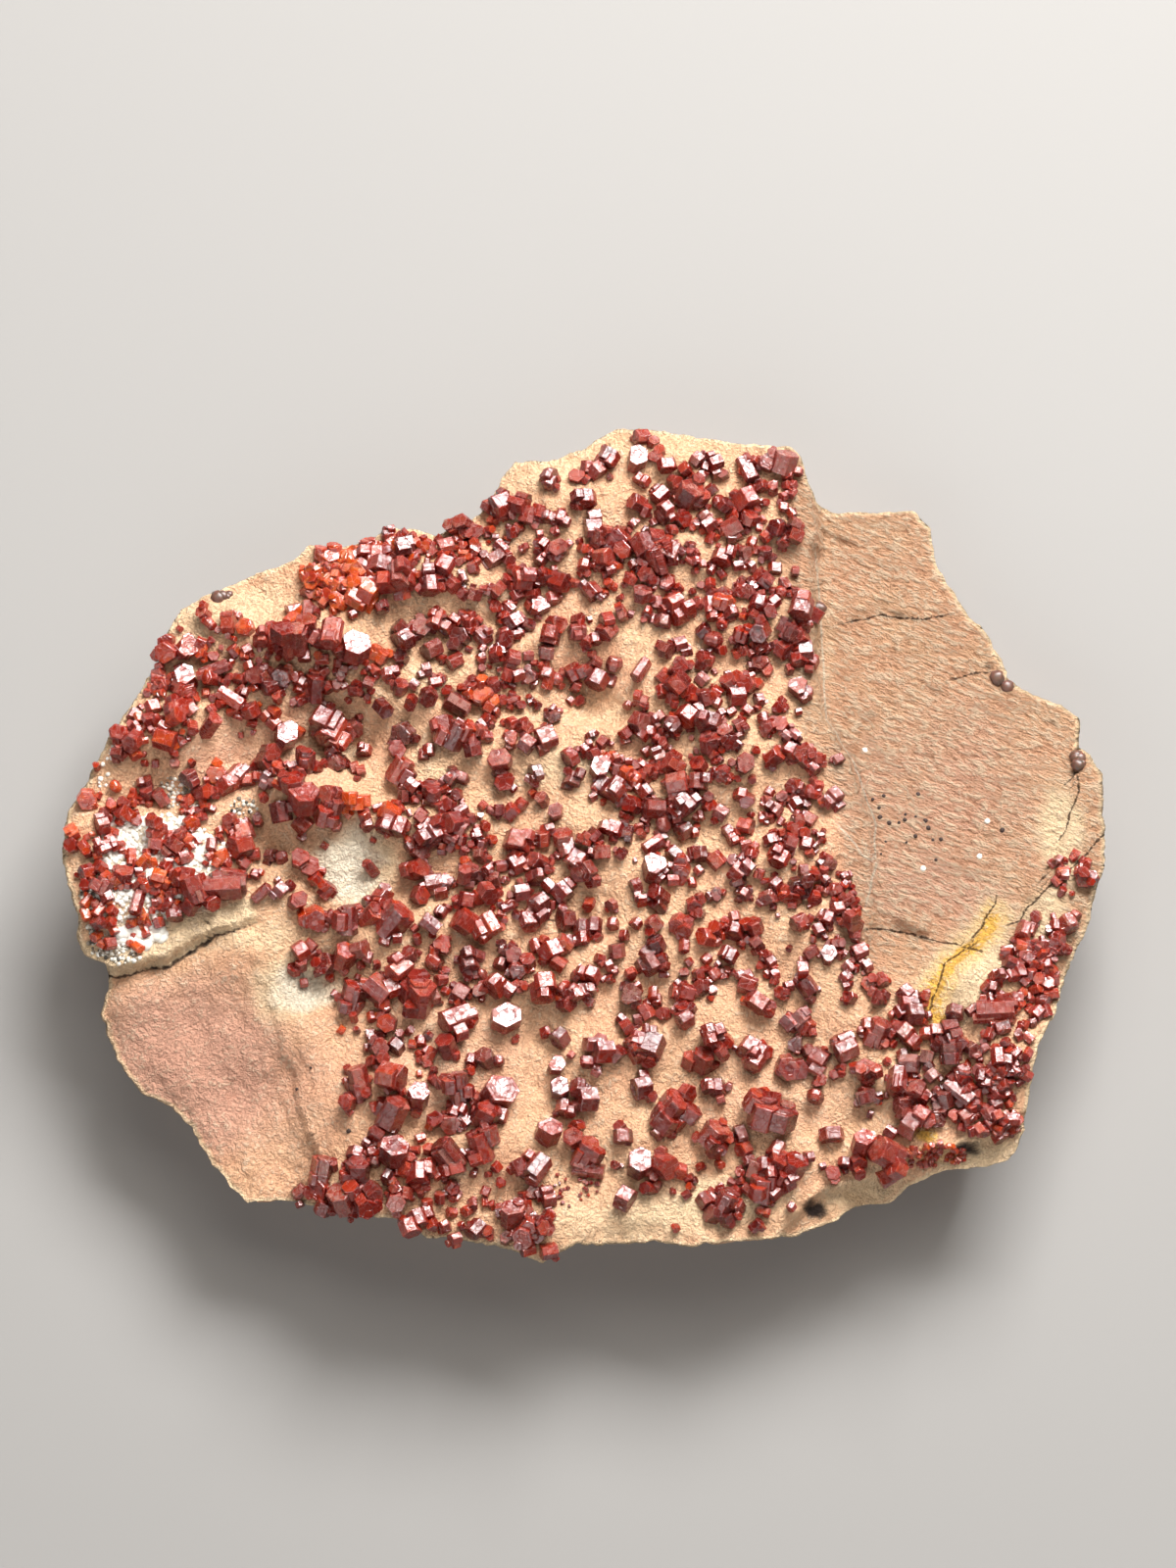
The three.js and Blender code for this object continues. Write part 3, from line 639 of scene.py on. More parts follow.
# Pale stains, with painted light on the front edge and on the lower left ledge's face.
pale_and_painted_light = np.maximum(stain("pale_and_painted_light", rock_x, rock_y), edge_cream_and_light) * on_face + 0.3 * ~on_face
chalk = stain("chalk", rock_x, rock_y) * on_face
rose = stain("rose", rock_x, rock_y) * (1.0 - 0.8 * rim_band) * on_face
vein = np.maximum(1.0 - smoothstep(vein_gap, 0.5, 1.7), 0.5 * (1.0 - smoothstep(vein_gap, 1.5, 5.0)))
ochre = np.maximum(stain("ochre", rock_x, rock_y), vein) * on_face
# Soot stains, with the painted shade line at the ledge's foot added in.
soot_and_foot_shade = np.maximum(stain("soot_and_foot_shade", rock_x, rock_y), 0.8 * foot) * on_face
painted_shade = stain("painted_shade", rock_x, rock_y) * on_face
bare = bareness(rock_x, rock_y) * (1.0 - 0.75 * pale_and_painted_light) * on_face

TAN = (0.95, 0.570, 0.335, 1.0)
WARM_TAN = (0.93, 0.505, 0.300, 1.0)
ROSE = (0.91, 0.50, 0.35, 1.0)
CREAM = (0.97, 0.71, 0.44, 1.0)
CHALK = (0.90, 0.80, 0.63, 1.0)
OCHRE = (0.96, 0.54, 0.11, 1.0)
SOOT_AND_SHADE_DARK = (0.035, 0.022, 0.018, 1.0)
PAINTED_SHADE_GREY = (0.69, 0.67, 0.68, 1.0)
HOLLOW_SHADE_BROWN = (0.46, 0.23, 0.12, 1.0)
GRAIN_TOP_HIGHLIGHT = (1.0, 0.76, 0.53, 1.0)
BED_BROWN = (0.78, 0.42, 0.27, 1.0)
PIT_SHADE_BROWN = (0.40, 0.19, 0.10, 1.0)
CRACK_BROWN = (0.06, 0.026, 0.012, 1.0)
CREASE_CREAM = (1.0, 0.86, 0.68, 1.0)
RELIEF_DEPTH = 0.0031

rock_material, rock, rock_shader = new_material("sandstone")
rock_place = rock.add("ShaderNodeTexCoord").outputs["Object"]
cloud = rock.noise(rock_place, 90.0, 4.0, 0.6)
speckle = rock.noise(rock_place, 1700.0, 3.0, 0.7)
breakup = rock.noise(rock_place, 420.0, 5.0, 0.65)


def drawn_out(scale, turn=0.0):
    """The rock's own place, drawn out along its axes and turned about the vertical."""
    settings = {"Vector": rock_place, "Rotation": (0.0, 0.0, turn), "Scale": scale}
    return rock.add("ShaderNodeMapping", {"vector_type": "TEXTURE"}, **settings).outputs[0]


def patchy(name, low, high):
    """A stain whose edge is broken up by cloudy grain."""
    ragged = rock.times(rock.minus(breakup, 0.5), 0.55)
    return rock.ramp(rock.plus(rock.field(name), ragged), low, high)


# Ground colour, with the stains over it, the pale one partly painted light: name, where the stain starts and
# is full, share, colour.
colour = rock.mix(rock.ramp(cloud, 0.35, 0.68), TAN, WARM_TAN)
for stain_values in (
    ("rose", 0.15, 0.85, 0.9, ROSE), ("pale_and_painted_light", 0.15, 0.75, 1.0, CREAM),
    ("chalk", 0.25, 0.75, 0.9, CHALK), ("ochre", 0.25, 0.85, 1.0, OCHRE),
):
    name, low, high, share, tint = stain_values
    colour = rock.mix(rock.times(patchy(name, low, high), share), colour, tint)

# Relief: grains everywhere, drawn-out streaks on the bare lobe and thin beds in the wall. Its
# hollows get a brown painted shade and its tops a pale painted highlight.
streaks = rock.noise(drawn_out((2.6, 1.0, 1.0), RIPPLE_TURN), 1400.0, 4.0, 0.7)
plain_relief = rock.plus(rock.times(speckle, 0.45), rock.times(breakup, 0.8))
plain_relief = rock.plus(plain_relief, rock.times(rock.ramp(speckle, 0.50, 0.57), 0.10))
drawn_relief = rock.plus(rock.times(streaks, 2.0), rock.times(breakup, 0.06))
drawn_relief = rock.plus(drawn_relief, rock.times(rock.ramp(streaks, 0.50, 0.56), 0.14))
drawn_relief = rock.minus(drawn_relief, 0.38)
bare_share = rock.field("bare")
relief_mix = rock.add("ShaderNodeMix", {"data_type": "FLOAT"}, i0=bare_share, i2=plain_relief)
rock.feed(relief_mix, "i3", drawn_relief)
wall_share = rock.field("wall")
layers = rock.noise(drawn_out((9.0, 9.0, 1.0)), 800.0, 4.0, 0.6)
layer_relief = rock.times(rock.minus(layers, 0.5), rock.times(wall_share, 1.5))
relief = rock.plus(relief_mix.outputs[0], layer_relief)
height = rock.times(relief, rock.plus(rock.times(bare_share, 0.42), 0.58))
# Painted shade in the hollows of the grain.
hollow_shade_share = rock.times(rock.ramp(relief, 0.56, 0.36), rock.plus(0.42, rock.times(bare_share, 0.06)))
colour = rock.mix(hollow_shade_share, colour, HOLLOW_SHADE_BROWN, "MULTIPLY")
# Painted highlight on the tops of the grain.
colour = rock.mix(rock.times(rock.ramp(relief, 0.68, 0.90), 0.65), colour, GRAIN_TOP_HIGHLIGHT)
layer_share = rock.times(rock.ramp(layers, 0.42, 0.62), rock.times(wall_share, 0.55))
colour = rock.mix(layer_share, colour, BED_BROWN)
# Painted shade on the lower left ground, multiplied in as grey.
colour = rock.mix(rock.field("painted_shade"), colour, PAINTED_SHADE_GREY, "MULTIPLY")
# Painted shade: tiny brown specks that stand for shaded pits.
pit_shade_noise = rock.noise(rock_place, 2600.0, 1.0, 0.5)
colour = rock.mix(rock.times(rock.ramp(pit_shade_noise, 0.62, 0.78), 0.4), colour, PIT_SHADE_BROWN)
# Soot stains and the painted shade at the ledge's foot, in one dark colour.
colour = rock.mix(patchy("soot_and_foot_shade", 0.40, 0.85), colour, SOOT_AND_SHADE_DARK)

# Thin dark cracks whose width varies, and the pale crease.
crack_width = rock.times(rock.minus(speckle, 0.5), 0.9)
crack_gap = rock.plus(rock.math("ABSOLUTE", rock.field("crack_side")), crack_width)
crack_line = rock.minus(1.0, rock.ramp(crack_gap, 0.04, 0.22))
crack_dark = rock.times(crack_line, rock.field("crack_near"), clamp=True)
colour = rock.mix(rock.times(crack_dark, 0.92), colour, CRACK_BROWN)
crease_gap = rock.math("ABSOLUTE", rock.field("crease_side"))
crease_line = rock.minus(1.0, rock.ramp(crease_gap, 0.04, 0.24))
crease_light = rock.times(crease_line, rock.field("crease_near"), clamp=True)
colour = rock.mix(rock.times(crease_light, 0.7), colour, CREASE_CREAM)
bump = rock.add("ShaderNodeBump", Height=height, Strength=1.0, Distance=RELIEF_DEPTH)
rock.feed(rock_shader, "Base_Color", colour)
rock.feed(rock_shader, "Normal", bump.outputs[0])
set_inputs(rock_shader, Roughness=0.88, Specular_IOR_Level=0.25)

slab = new_piece(
    "sandstone_slab", rock_points,
    [face_quads.reshape(-1, 4), wall_quads, centre_fan], rock_material, smooth=True,
)
slab_marks = {
    "pale_and_painted_light": pale_and_painted_light, "chalk": chalk, "rose": rose, "ochre": ochre, "soot_and_foot_shade": soot_and_foot_shade, "painted_shade": painted_shade,
    "bare": bare, "wall": 1.0 - on_face, "crack_side": crack_side, "crack_near": crack_near,
    "crease_side": crease_side, "crease_near": crease_near * on_face,
}
for name, values in slab_marks.items():
    paint(slab, name, values)
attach(slab, "root")
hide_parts("matrix")

# ---------------------------------------------------------------------------------------------
# Vanadinite crystals
# Short six-sided prisms, deep red to orange, with a bright resinous shine. The larger ones stand
# singly or grown together, with some nine hundred smaller ones between them. Younger ones are
# grown on their flanks, and the smallest are strewn about.
# ---------------------------------------------------------------------------------------------

# The larger crystals: x, y, width across corners, length, lean from upright, the direction of the
# lean, spin about its own axis, and lift above the rock. Lengths in mm, angles in degrees.
LARGE = [
    (-57.6, 23.8, 3.9, 2.8, 18, 62, 12, 0.6), (-53.4, 24.9, 2.6, 4.6, 84, 20, -18, 0.8),
    (-50.4, 9.4, 3.3, 3.8, 70, 232, 0, 0.8), (-55.6, -7.6, 4.3, 3.8, 74, 110, 0, 0.4),
    (-52, -7.7, 4.1, 6.2, 86, 2, 0, 0.4), (-50.4, -5.6, 2.5, 3.8, 84, -12, 10, 0.6),
    (-45, 29.4, 2.4, 4.4, 68, 282, 8, 0.6), (-40.1, 33.2, 2.5, 3.6, 62, 268, 4, 1),
    (-41.3, 28.5, 4.3, 4.3, 34, 88, 20, 1.2), (-36.3, 29.1, 3.6, 4, 70, 262, 4, 1.6),
    (-32.9, 27.3, 4.8, 3.4, 19, 64, 6, 1.8), (-38.6, 22.2, 3.1, 4.5, 40, 84, 10, 0.4),
    (-27, 38.3, 3.8, 4, 66, 272, 6, 1.4), (-18.6, 46.8, 3, 2.8, 30, 160, 0, 0.4),
    (-16, 46.3, 3.2, 2.4, 16, 300, 12, 0.4), (-36.5, 16.4, 4.2, 4.2, 68, 246, 0, 2.2),
    (-43, 15.5, 4.2, 2.8, 20, 50, 8, 0.8), (-45.6, 11.7, 3.6, 3.1, 28, 340, 0, 0.4),
    (-40.1, 10.7, 3.1, 4.6, 48, 86, 0, 0.6), (-40.2, 4.9, 4.8, 3.6, 28, 80, 16, 0.8),
    (-36.2, 3.9, 3.3, 3.6, 46, 70, 0, 0.4), (-26.6, 10.3, 3.6, 3.8, 64, 58, 8, 0.2),
    (-18.3, 15, 3.6, 4, 56, 60, 0, 0.6), (-18.3, 20.2, 3.3, 3.6, 74, 152, 0, 1),
    (-33.9, -12, 3.2, 4, 58, 88, 0, 0.4), (-30.6, -11.4, 3, 3.4, 40, 30, 0, 0),
    (-27.3, -12.4, 4.8, 4.6, 52, 42, 10, 0.2), (-34.2, -17.3, 3.8, 3.6, 30, 60, 0, 0.2),
    (-36.9, -18, 3.4, 3.3, 22, 200, 0, 0.2), (-33, -23.2, 3.9, 3.8, 52, 70, 0, 0.2),
    (-26.5, -19.5, 3.3, 3.6, 62, 225, 0, 0.6), (-23, -23.7, 4.6, 4.1, 36, 80, 12, 0.4),
    (-18.3, -26.6, 4.2, 4.6, 72, 205, 8, 0.4), (-11, -26.8, 4.9, 2.4, 18, 62, 0, 0.9),
    (-32, -36.3, 3.2, 4.8, 62, 106, 0, 0.4), (-33.6, -39.1, 3, 2.8, 20, 220, 0, 0.2),
    (-23.6, -38.5, 4, 3.6, 22, 70, 14, 0.2), (-27.2, -40.8, 4.3, 4.3, 48, 60, 0, 0.4),
    (-17.9, -37, 3.2, 4.3, 54, 96, 0, 0.4), (-12.2, -37.6, 5.4, 4.3, 22, 30, 0, 0.2),
    (-14.6, -45.8, 3.2, 4.5, 62, 112, 0, 0.4), (-19.1, -47, 3.8, 4.3, 60, 132, 0, 0.2),
    (-27, -46.5, 5, 3.4, 27, 80, 24, 1), (-32.2, -49.2, 3.9, 3.8, 40, 90, 0, 0.4),
    (-37.3, -48.3, 3.8, 3.6, 58, 78, 0, 0.4), (-30.1, -52.6, 3.6, 3.6, 42, 300, 10, 0.6),
    (-10, -55.4, 3.6, 3.6, 28, 85, 20, 0.6), (-8.4, -58.4, 3.6, 3.3, 40, 250, 0, 0.2),
    (-6, -57, 3.3, 3.4, 30, 330, 0, 0.4), (-7, -48.4, 3.9, 4, 70, 236, 0, 0.2),
    (-5, -43.3, 4.2, 3.4, 28, 60, 0, 0.2), (0.3, -46, 3.9, 3.8, 46, 56, 0, 0.2),
    (0.9, -48.4, 2.5, 4.3, 84, 350, 0, 0.2), (9.6, -31, 3.9, 4, 62, 250, 0, 0.4),
    (7.3, -31, 2.8, 3.4, 64, 120, 0, 0.2), (13, -39.4, 4.6, 2.8, 46, 44, 0, 0.4),
    (24.7, -39.3, 4.1, 2.8, 50, 50, 10, 0.3), (27.9, -41.3, 5.1, 3.1, 50, 74, 0, 0.4),
    (24.5, -32.3, 3.6, 3.6, 69, 240, 0, 0.6), (29.2, -33.8, 3.8, 3.6, 24, 280, 0, 0.2),
    (18.5, -43.6, 3.9, 3.6, 48, 46, 0, 0.2), (28, -48.1, 4.3, 3.4, 38, 60, 0, 0.2),
    (25.4, -51.4, 3.9, 3.8, 52, 84, 0, 0.4), (19.9, -53.6, 3.8, 3.8, 56, 60, 0, 0.4),
    (8, -47.8, 4.3, 3.4, 14, 60, 0, 0.2), (40.5, -34.5, 3.4, 3.3, 20, 120, 0, 0.2),
    (44.6, -35.8, 3.2, 3.8, 68, 262, 4, 0.6), (42, -28.6, 3.6, 3.6, 50, 66, 0, 0.2),
    (58.8, -25.8, 3.6, 5.7, 85, 2, 0, 0.6), (39.8, -44.7, 3.7, 3.2, 27, 70, 0, 0.2),
    (7.8, 57.2, 3.8, 2.6, 18, 56, 0, 0.4), (31.6, 34.6, 3.6, 3.6, 67, 258, 2, 0.8),
    (10, -4.9, 4.1, 3.6, 20, 60, 12, 0.4), (10.6, 42, 3.9, 3.8, 54, 110, 0, 0.2),
]

# Smaller crystals: x, y and width in mm, in groups by what the eye sees of each.
SMALL = {
    "plain": [
        (-60, 28, 3.6), (-57.1, 28.4, 3.3), (-60.2, 14.2, 3.6), (-25.5, 7.7, 2.8), (-39.4, -3.9, 3.6),
        (-29.4, -22.3, 4.1), (-27.4, -35.5, 4.1), (-34.3, -53, 4.1), (11.7, -48.1, 4.1),
        (43.2, -46.6, 4.7), (29.4, 56.6, 4), (15.2, 51.7, 4.1), (4.8, 44.6, 4.1), (13.3, 23.1, 4.6),
        (-54, 31.8, 2.6), (-51.3, 31.5, 3), (-55, 33.5, 2), (-58.5, 31.5, 1), (-39, 29, 3), (-61.5, 25, 2),
        (-62, 24, 2.2), (-61, 23, 2), (-63, 22, 1.5), (-57.5, 21.5, 3), (-28.5, 45.8, 2.2),
        (-31.5, 44.5, 2), (-32.5, 43.5, 1.5), (-27.5, 42, 2), (-32, 40.5, 3), (-22, 43, 2),
        (-20, 43.8, 2.5), (-21, 45.3, 1.3), (-24.3, 42, 2), (-19, 37.5, 2.5), (-16, 40.3, 2),
        (-18, 41.3, 1.5), (-15.8, 36.5, 2.4), (-17.5, 36.5, 2), (-30.5, 37.5, 2), (-38.3, 28.8, 2),
        (-23.5, 32, 3), (-16.5, 32.5, 2.5), (-18.6, 26.5, 2.4), (-20.5, 24, 1.5), (-21.5, 23.5, 2),
        (-24.5, 23, 2), (-26.5, 22.5, 2.5), (-31, 23, 2), (-12, 44, 2.2), (-11, 42.3, 2),
        (-13.8, 50.3, 2.6), (-12, 48.8, 2.2), (-9.5, 50, 3), (-8, 48.5, 3), (-3.5, 48, 2.5), (-6.3, 42, 2),
        (-6, 39.5, 2.2), (-12.5, 37.3, 3), (-7.4, 37, 2), (-12.8, 35, 2.2), (-10.8, 34.8, 2),
        (-12.5, 27.3, 2.4), (-10.3, 27, 2.6), (-12.3, 25.3, 1), (-11, 24.5, 2), (-7.8, 24.6, 2.4),
        (-5.5, 25, 2.6), (-4, 24.5, 2), (-4, 32, 3), (-5, 30, 3.2), (-5.3, 28, 2.2), (-3.5, 38.5, 3),
        (-19.5, 22, 2), (-16, 23, 2.2), (-13, 23, 2.5), (-10.5, 21, 1.8), (-15.8, 21, 1.4),
        (-25, 20.2, 2.2), (-22.5, 21, 3), (2, 55.5, 3), (-1, 54.5, 2.6), (3.8, 54.5, 1), (-5, 54.5, 2.5),
        (10.5, 57.5, 2.4), (14.8, 55.5, 2.4), (16.5, 57.2, 2.5), (20.2, 55.2, 2), (27, 57, 3),
        (29.5, 55, 2), (8.5, 60.8, 2.4), (10, 60, 2), (13.3, 53.7, 2.2), (16.5, 50.7, 2.5),
        (16.7, 53.6, 0.9), (18.5, 52.7, 1.8), (11, 51.7, 2.6), (7.8, 50.3, 2.8), (19.8, 50.7, 2.6),
        (26, 53.3, 2), (27.5, 53, 2), (24.5, 51.3, 1.4), (26.5, 50.7, 1), (11.5, 48.5, 2.8),
        (14.3, 47.8, 2.4), (19, 47.2, 1.2), (21.5, 48.8, 2), (23.7, 48.8, 2.8), (30.3, 49.3, 1.4),
        (26.5, 45.8, 2), (28, 47, 3), (30.5, 46, 3.2), (29, 45, 2), (6.5, 46.3, 1.5), (8, 45.5, 1.5),
        (5, 46, 2), (2.5, 45, 3), (3.3, 45.7, 1.6), (12.7, 46.2, 2), (-3.5, 43.3, 3), (0.6, 43.6, 1),
        (3, 42, 3), (3.8, 38.3, 1.2), (5.5, 41.8, 1), (15.4, 42.8, 1.6), (14.3, 41.5, 1), (24.2, 41, 2),
        (25.5, 40, 2), (26.2, 38.7, 3), (30.7, 40.7, 1.8), (28.5, 37.2, 2.4), (30.8, 37, 1.4),
        (-1.2, 38.4, 1.4), (1.2, 37, 2.8), (6.8, 38.7, 2.2), (9, 39.5, 2.6), (10.4, 38.8, 1.6),
        (18.3, 38.3, 2), (22.3, 37.6, 1.8), (24, 37, 2.4), (20.3, 37, 2.4), (10.6, 35.5, 2), (13, 36.3, 2),
        (16.5, 35.3, 2), (20.1, 32.3, 1.8), (27, 34, 2.4), (5.5, 33.8, 2.4), (-0.8, 33, 2),
        (3.3, 32.7, 3.2), (3.3, 31.2, 3), (-1, 31, 3), (0.5, 29.5, 2), (14, 26, 2.6), (18.7, 30, 3.2),
        (22.7, 30.5, 2.8), (22.7, 28.5, 2), (25.5, 30.8, 3.4), (25.5, 26.5, 3), (26.5, 25.5, 2),
        (29.8, 31, 3), (31, 30.5, 3.5), (29, 28.5, 3), (31, 27, 3), (1.7, 26.8, 2.4), (4.3, 26.5, 2.8),
        (-1.5, 25.7, 3), (-1.2, 23.7, 2.2), (17.3, 26.3, 2.6), (18.9, 25.4, 1), (17.2, 24, 2.2),
        (12.8, 21, 2), (15, 22, 2.5), (21, 23.6, 2.4), (19.2, 22, 2.4), (23.5, 23.3, 3.2), (17.3, 21, 2.4),
        (8.3, 21, 2.2), (31, 22.5, 3), (28.7, 20.7, 1.5), (-65, 18.5, 2), (-67, 15.5, 3.2),
        (-58.5, 18.5, 3.5), (-57.3, 20.8, 2.4), (-62.5, 17, 2.5), (-65, 14, 3), (-67, 12.5, 2),
        (-63.3, 12.3, 1), (-70.3, 11, 1.2), (-59, 11.3, 1.8), (-56.5, 11.5, 1.4), (-46, 6, 1.6),
        (-43.5, 7, 1.6), (-48, 19, 3), (-49.5, 16, 0.9), (-47.7, 16.3, 0.9), (-42, 10.3, 2), (-41.5, 7, 4),
        (-40.5, 2, 3), (-70, 6.5, 1.2), (-65, 6.5, 2), (-61, 6.5, 2.5), (-58, 6.5, 1), (-57, 6, 2),
        (-66.5, 4.3, 2.8), (-69, 4, 2), (-73.7, -1, 2.4), (-64.5, 3, 2), (-61.3, 1.5, 2.8),
        (-56.5, 2.5, 3), (-55.5, 4, 1.6), (-51, 3, 2), (-49.5, -1, 3.8), (-58, 0.3, 2), (-71.3, -2, 1.5),
        (-66.5, -1.5, 1.3), (-61.3, -0.8, 2.8), (-58.5, -1.3, 3), (-53.5, -1, 2), (-54.3, -3.8, 1),
        (-57.5, -3, 2), (-48.7, -3.8, 2), (-71.5, -5, 2.6), (-69.5, -4.3, 2), (-66, -6, 2.8),
        (-58.3, -6, 2.4), (-71.5, -7, 2), (-69, -7.5, 3), (-61.5, -8, 2), (-41, -9, 3), (-59.5, -9.7, 2.4),
        (-61, -12.3, 2), (-70, -10, 1.8), (-69.5, -12.5, 2.4), (-33, 11, 2), (-32.7, 9.3, 1.2),
        (-35, 18, 2.5), (-33, 17.5, 2.5), (-27, 13.5, 3), (-25.8, 6.5, 2), (-22.2, 7.2, 3.2),
        (-20.5, 16.8, 3.4), (-17.7, 9, 2.6), (-18.3, 6.5, 2), (-16, 14.5, 2), (-15, 16, 2), (-13.8, 18, 2),
        (-14, 15, 2), (-10.5, 17, 2.2), (-8.7, 16.5, 2.4), (-10.5, 14.5, 2.5), (-5.5, 15, 3.4),
        (-7, 8.8, 2), (-7.3, 7, 1.5), (-6, 6, 2), (-9, 5.3, 2.4), (-10.5, 4, 2.4), (-12.3, 4.2, 2),
        (-4, 4, 2.4), (-12, -4, 2), (-6.8, -3.5, 3), (-6, 0, 2.6), (-5, 1.5, 2), (-3, 0, 3),
        (-2.5, -1.5, 3), (-5, -7, 2.4), (-36.5, 6, 3), (-31.5, 3.3, 2), (-26.5, 2, 2.4), (-25.5, 1.5, 2),
        (-23.3, 3.3, 2), (-19.5, 4.5, 2.5), (-17.8, 3.8, 2.4), (-17, 2.5, 2), (-23, 1, 2), (-19, 1.8, 3.5),
        (-15.3, 0.5, 2), (-14.7, -1, 2.2), (-18.8, -1.5, 1), (-23.5, -2, 3), (-24.2, -4.3, 3.6),
        (-23.5, -8.3, 3), (-19.7, -6, 2.5), (-16.5, -5.3, 3), (-13.7, -8.5, 3.2), (-16.8, -9.2, 2.8),
        (-17, -12.5, 4), (-22.3, -12.5, 3), (-37.3, -0.7, 1.2), (-36.8, -7.5, 2.4), (-29, -8.5, 2.8),
        (-31, -9, 2.2), (-37, -10.7, 1), (-32.5, -10.5, 2), (-36, -11.5, 2.4), (6, 16, 2.5), (18, 17, 3.5),
        (23.5, 19.3, 1.8), (26.3, 16.2, 2.2), (22.5, 16.5, 2.8), (20.5, 15.5, 2.5), (28.5, 17, 2.6),
        (28, 19.5, 2), (18.8, 12.3, 1.6), (23.3, 10.8, 3.2), (20, 9.3, 2.6), (16.5, 10.7, 2.6),
        (12.9, 11, 3.2), (10.3, 11, 2.4), (9, 13.5, 1.5), (11.5, 14.3, 2.2), (7.5, 11, 1.8),
        (2.8, 14.7, 2.4), (1.3, 13, 2.5), (4.5, 12, 2), (4.8, 10.5, 2), (8.8, 9.5, 2.6), (6.5, 8, 2.2),
        (1.3, 6.2, 1.4), (7, 5, 3), (10, 4.5, 3.2), (13.5, 7.8, 3.4), (16.5, 8.2, 3.2), (18, 6, 2),
        (11, 0.7, 2), (19.8, 4.2, 2.6), (18, 5, 2), (23.5, 5.8, 2.4), (21.3, 0, 2), (23.3, 2, 2.6),
        (26.5, 5.8, 1.6), (28.5, 6.5, 2), (30.3, 8, 2.4), (27.5, 12, 2.8), (31, 13, 2), (30.5, 1.5, 2.6),
        (29.5, -1, 3), (24, -2.7, 2), (21.5, -3.3, 2), (25, -5.5, 1.6), (30, -8.7, 3), (23, -8.3, 2.2),
        (19, -8, 2), (19, -3.3, 2.6), (14, -4.5, 3), (12.8, -6.2, 2), (2.5, -2.5, 2.8), (1.5, 0, 3),
        (0, -0.5, 2.5), (0.7, -9.7, 2), (4, -9.8, 2), (15.7, -10, 2.8), (21.7, -11.5, 2),
        (27.8, -11.5, 0.9), (-2.5, -12, 3), (13.5, -12.8, 3), (10, -13, 2.5), (24.5, -13, 2.8),
        (30.8, -12.7, 2.4), (32.5, -12, 1.5), (32.5, 13, 2), (33.5, 12, 2), (31, 12.5, 3), (33, 9, 1.3),
        (33, 7, 2.4), (31, 7.5, 2.5), (32.5, 3, 2), (33.2, 1, 1), (34, 0.3, 1.5), (32.5, -2.2, 1.6),
        (33.5, -5.5, 2), (33, -9, 2.5), (36, -7.5, 2.6), (38, -9, 2), (36.5, -10.5, 2.4), (38.5, -12.5, 3),
        (36, -15.5, 2), (32.5, -17, 2.4), (39.5, -16.5, 2.4), (40.5, -18.5, 2.2), (38, -18.8, 2),
        (40.7, -21.3, 2.4), (42.6, -20.7, 2.2), (38, -23.5, 2), (48.5, -23.3, 2), (68.3, -3, 1.8),
        (69, -5, 2), (71.5, -3.7, 1.2), (72, -6, 2.6), (69.5, -12.5, 3), (68, -15, 2.4), (63, -12, 1),
        (63.2, -13.8, 2.6), (64.8, -12.5, 1.2), (65.5, -16, 2.4), (68.5, -16, 2), (-38.8, -16.5, 1.5),
        (-41.5, -18.8, 2.4), (-32, -16.3, 3), (-25, -17.3, 2.4), (-20.5, -20.8, 2), (-21.5, -18.2, 2.6),
        (-20.3, -15.8, 2.8), (-14.5, -20, 2), (-9.8, -29.4, 1.2), (-15, -22.5, 2.4), (-10, -17.5, 3),
        (-8, -18.5, 2.4), (-9.5, -19.5, 2.6), (-7, -16, 2), (-9.2, -22, 2), (-28, -27, 3),
        (-29, -28.8, 1.6), (-29.3, -31, 3.2), (-31, -30.7, 1.4), (-30, -33, 2), (-22.3, -29, 1.4),
        (-23.4, -32.8, 1.4), (-33.7, -34, 1.4), (-19.8, -36, 2.4), (-21, -41.5, 2.6), (-19, -42, 3),
        (-14, -41, 4), (-13.5, -44, 3), (-29.5, -43.5, 3), (-25, -47.5, 2), (-37.5, -51, 3.5),
        (-40.5, -51, 2), (-37, -53.5, 2.5), (-33, -54.5, 2.4), (-30.5, -54.5, 2.4), (-26.5, -53.5, 3.2),
        (-25.5, -56, 2), (-18.3, -48.7, 3), (-17.2, -46.5, 1.6), (-20, -49.8, 1), (-18.5, -51.5, 2),
        (-14, -51.7, 1.6), (-7.3, -52, 2.4), (-5, -53, 2.8), (-15.5, -57, 2.8), (-13.5, -57.5, 1.8),
        (-18.3, -58.5, 2.2), (-5, -60.5, 2.8), (-11, -58.5, 2), (-3, -39.5, 2.5), (2, -14.5, 1.6),
        (5.8, -14.5, 1.8), (2.3, -18, 1.5), (3.6, -19, 2), (-1, -20.5, 2), (3.7, -20.7, 1.8),
        (6.8, -20, 2), (19, -13.5, 2.4), (24.8, -15.5, 2.8), (17.7, -19.3, 1.4), (16.3, -20, 1.8),
        (16.8, -22, 2.4), (23.5, -21.5, 2.8), (25.2, -18.5, 1.4), (28.3, -22.5, 2), (14.5, -23, 3),
        (14.3, -25.5, 2.4), (9, -25.3, 2.5), (11.5, -25.7, 2), (0.8, -24, 2), (6.2, -27.8, 3),
        (9.7, -28.5, 2), (19, -30.5, 3), (17, -32.8, 3.4), (31.8, -27.5, 2.4), (32, -31, 2),
        (16, -43.8, 1.6), (22.8, -45.5, 2.5), (12.5, -43.3, 1.8), (-1.3, -44, 3.4), (1.5, -46, 2),
        (4.6, -47.8, 1.6), (9.5, -49, 2), (9.3, -51.3, 2.4), (16.6, -48, 1.2), (12.7, -51.8, 1),
        (24.5, -48.5, 2.8), (27, -52, 2.4), (21, -52.5, 2.4), (26, -54.8, 1.4), (13, -57, 1.4),
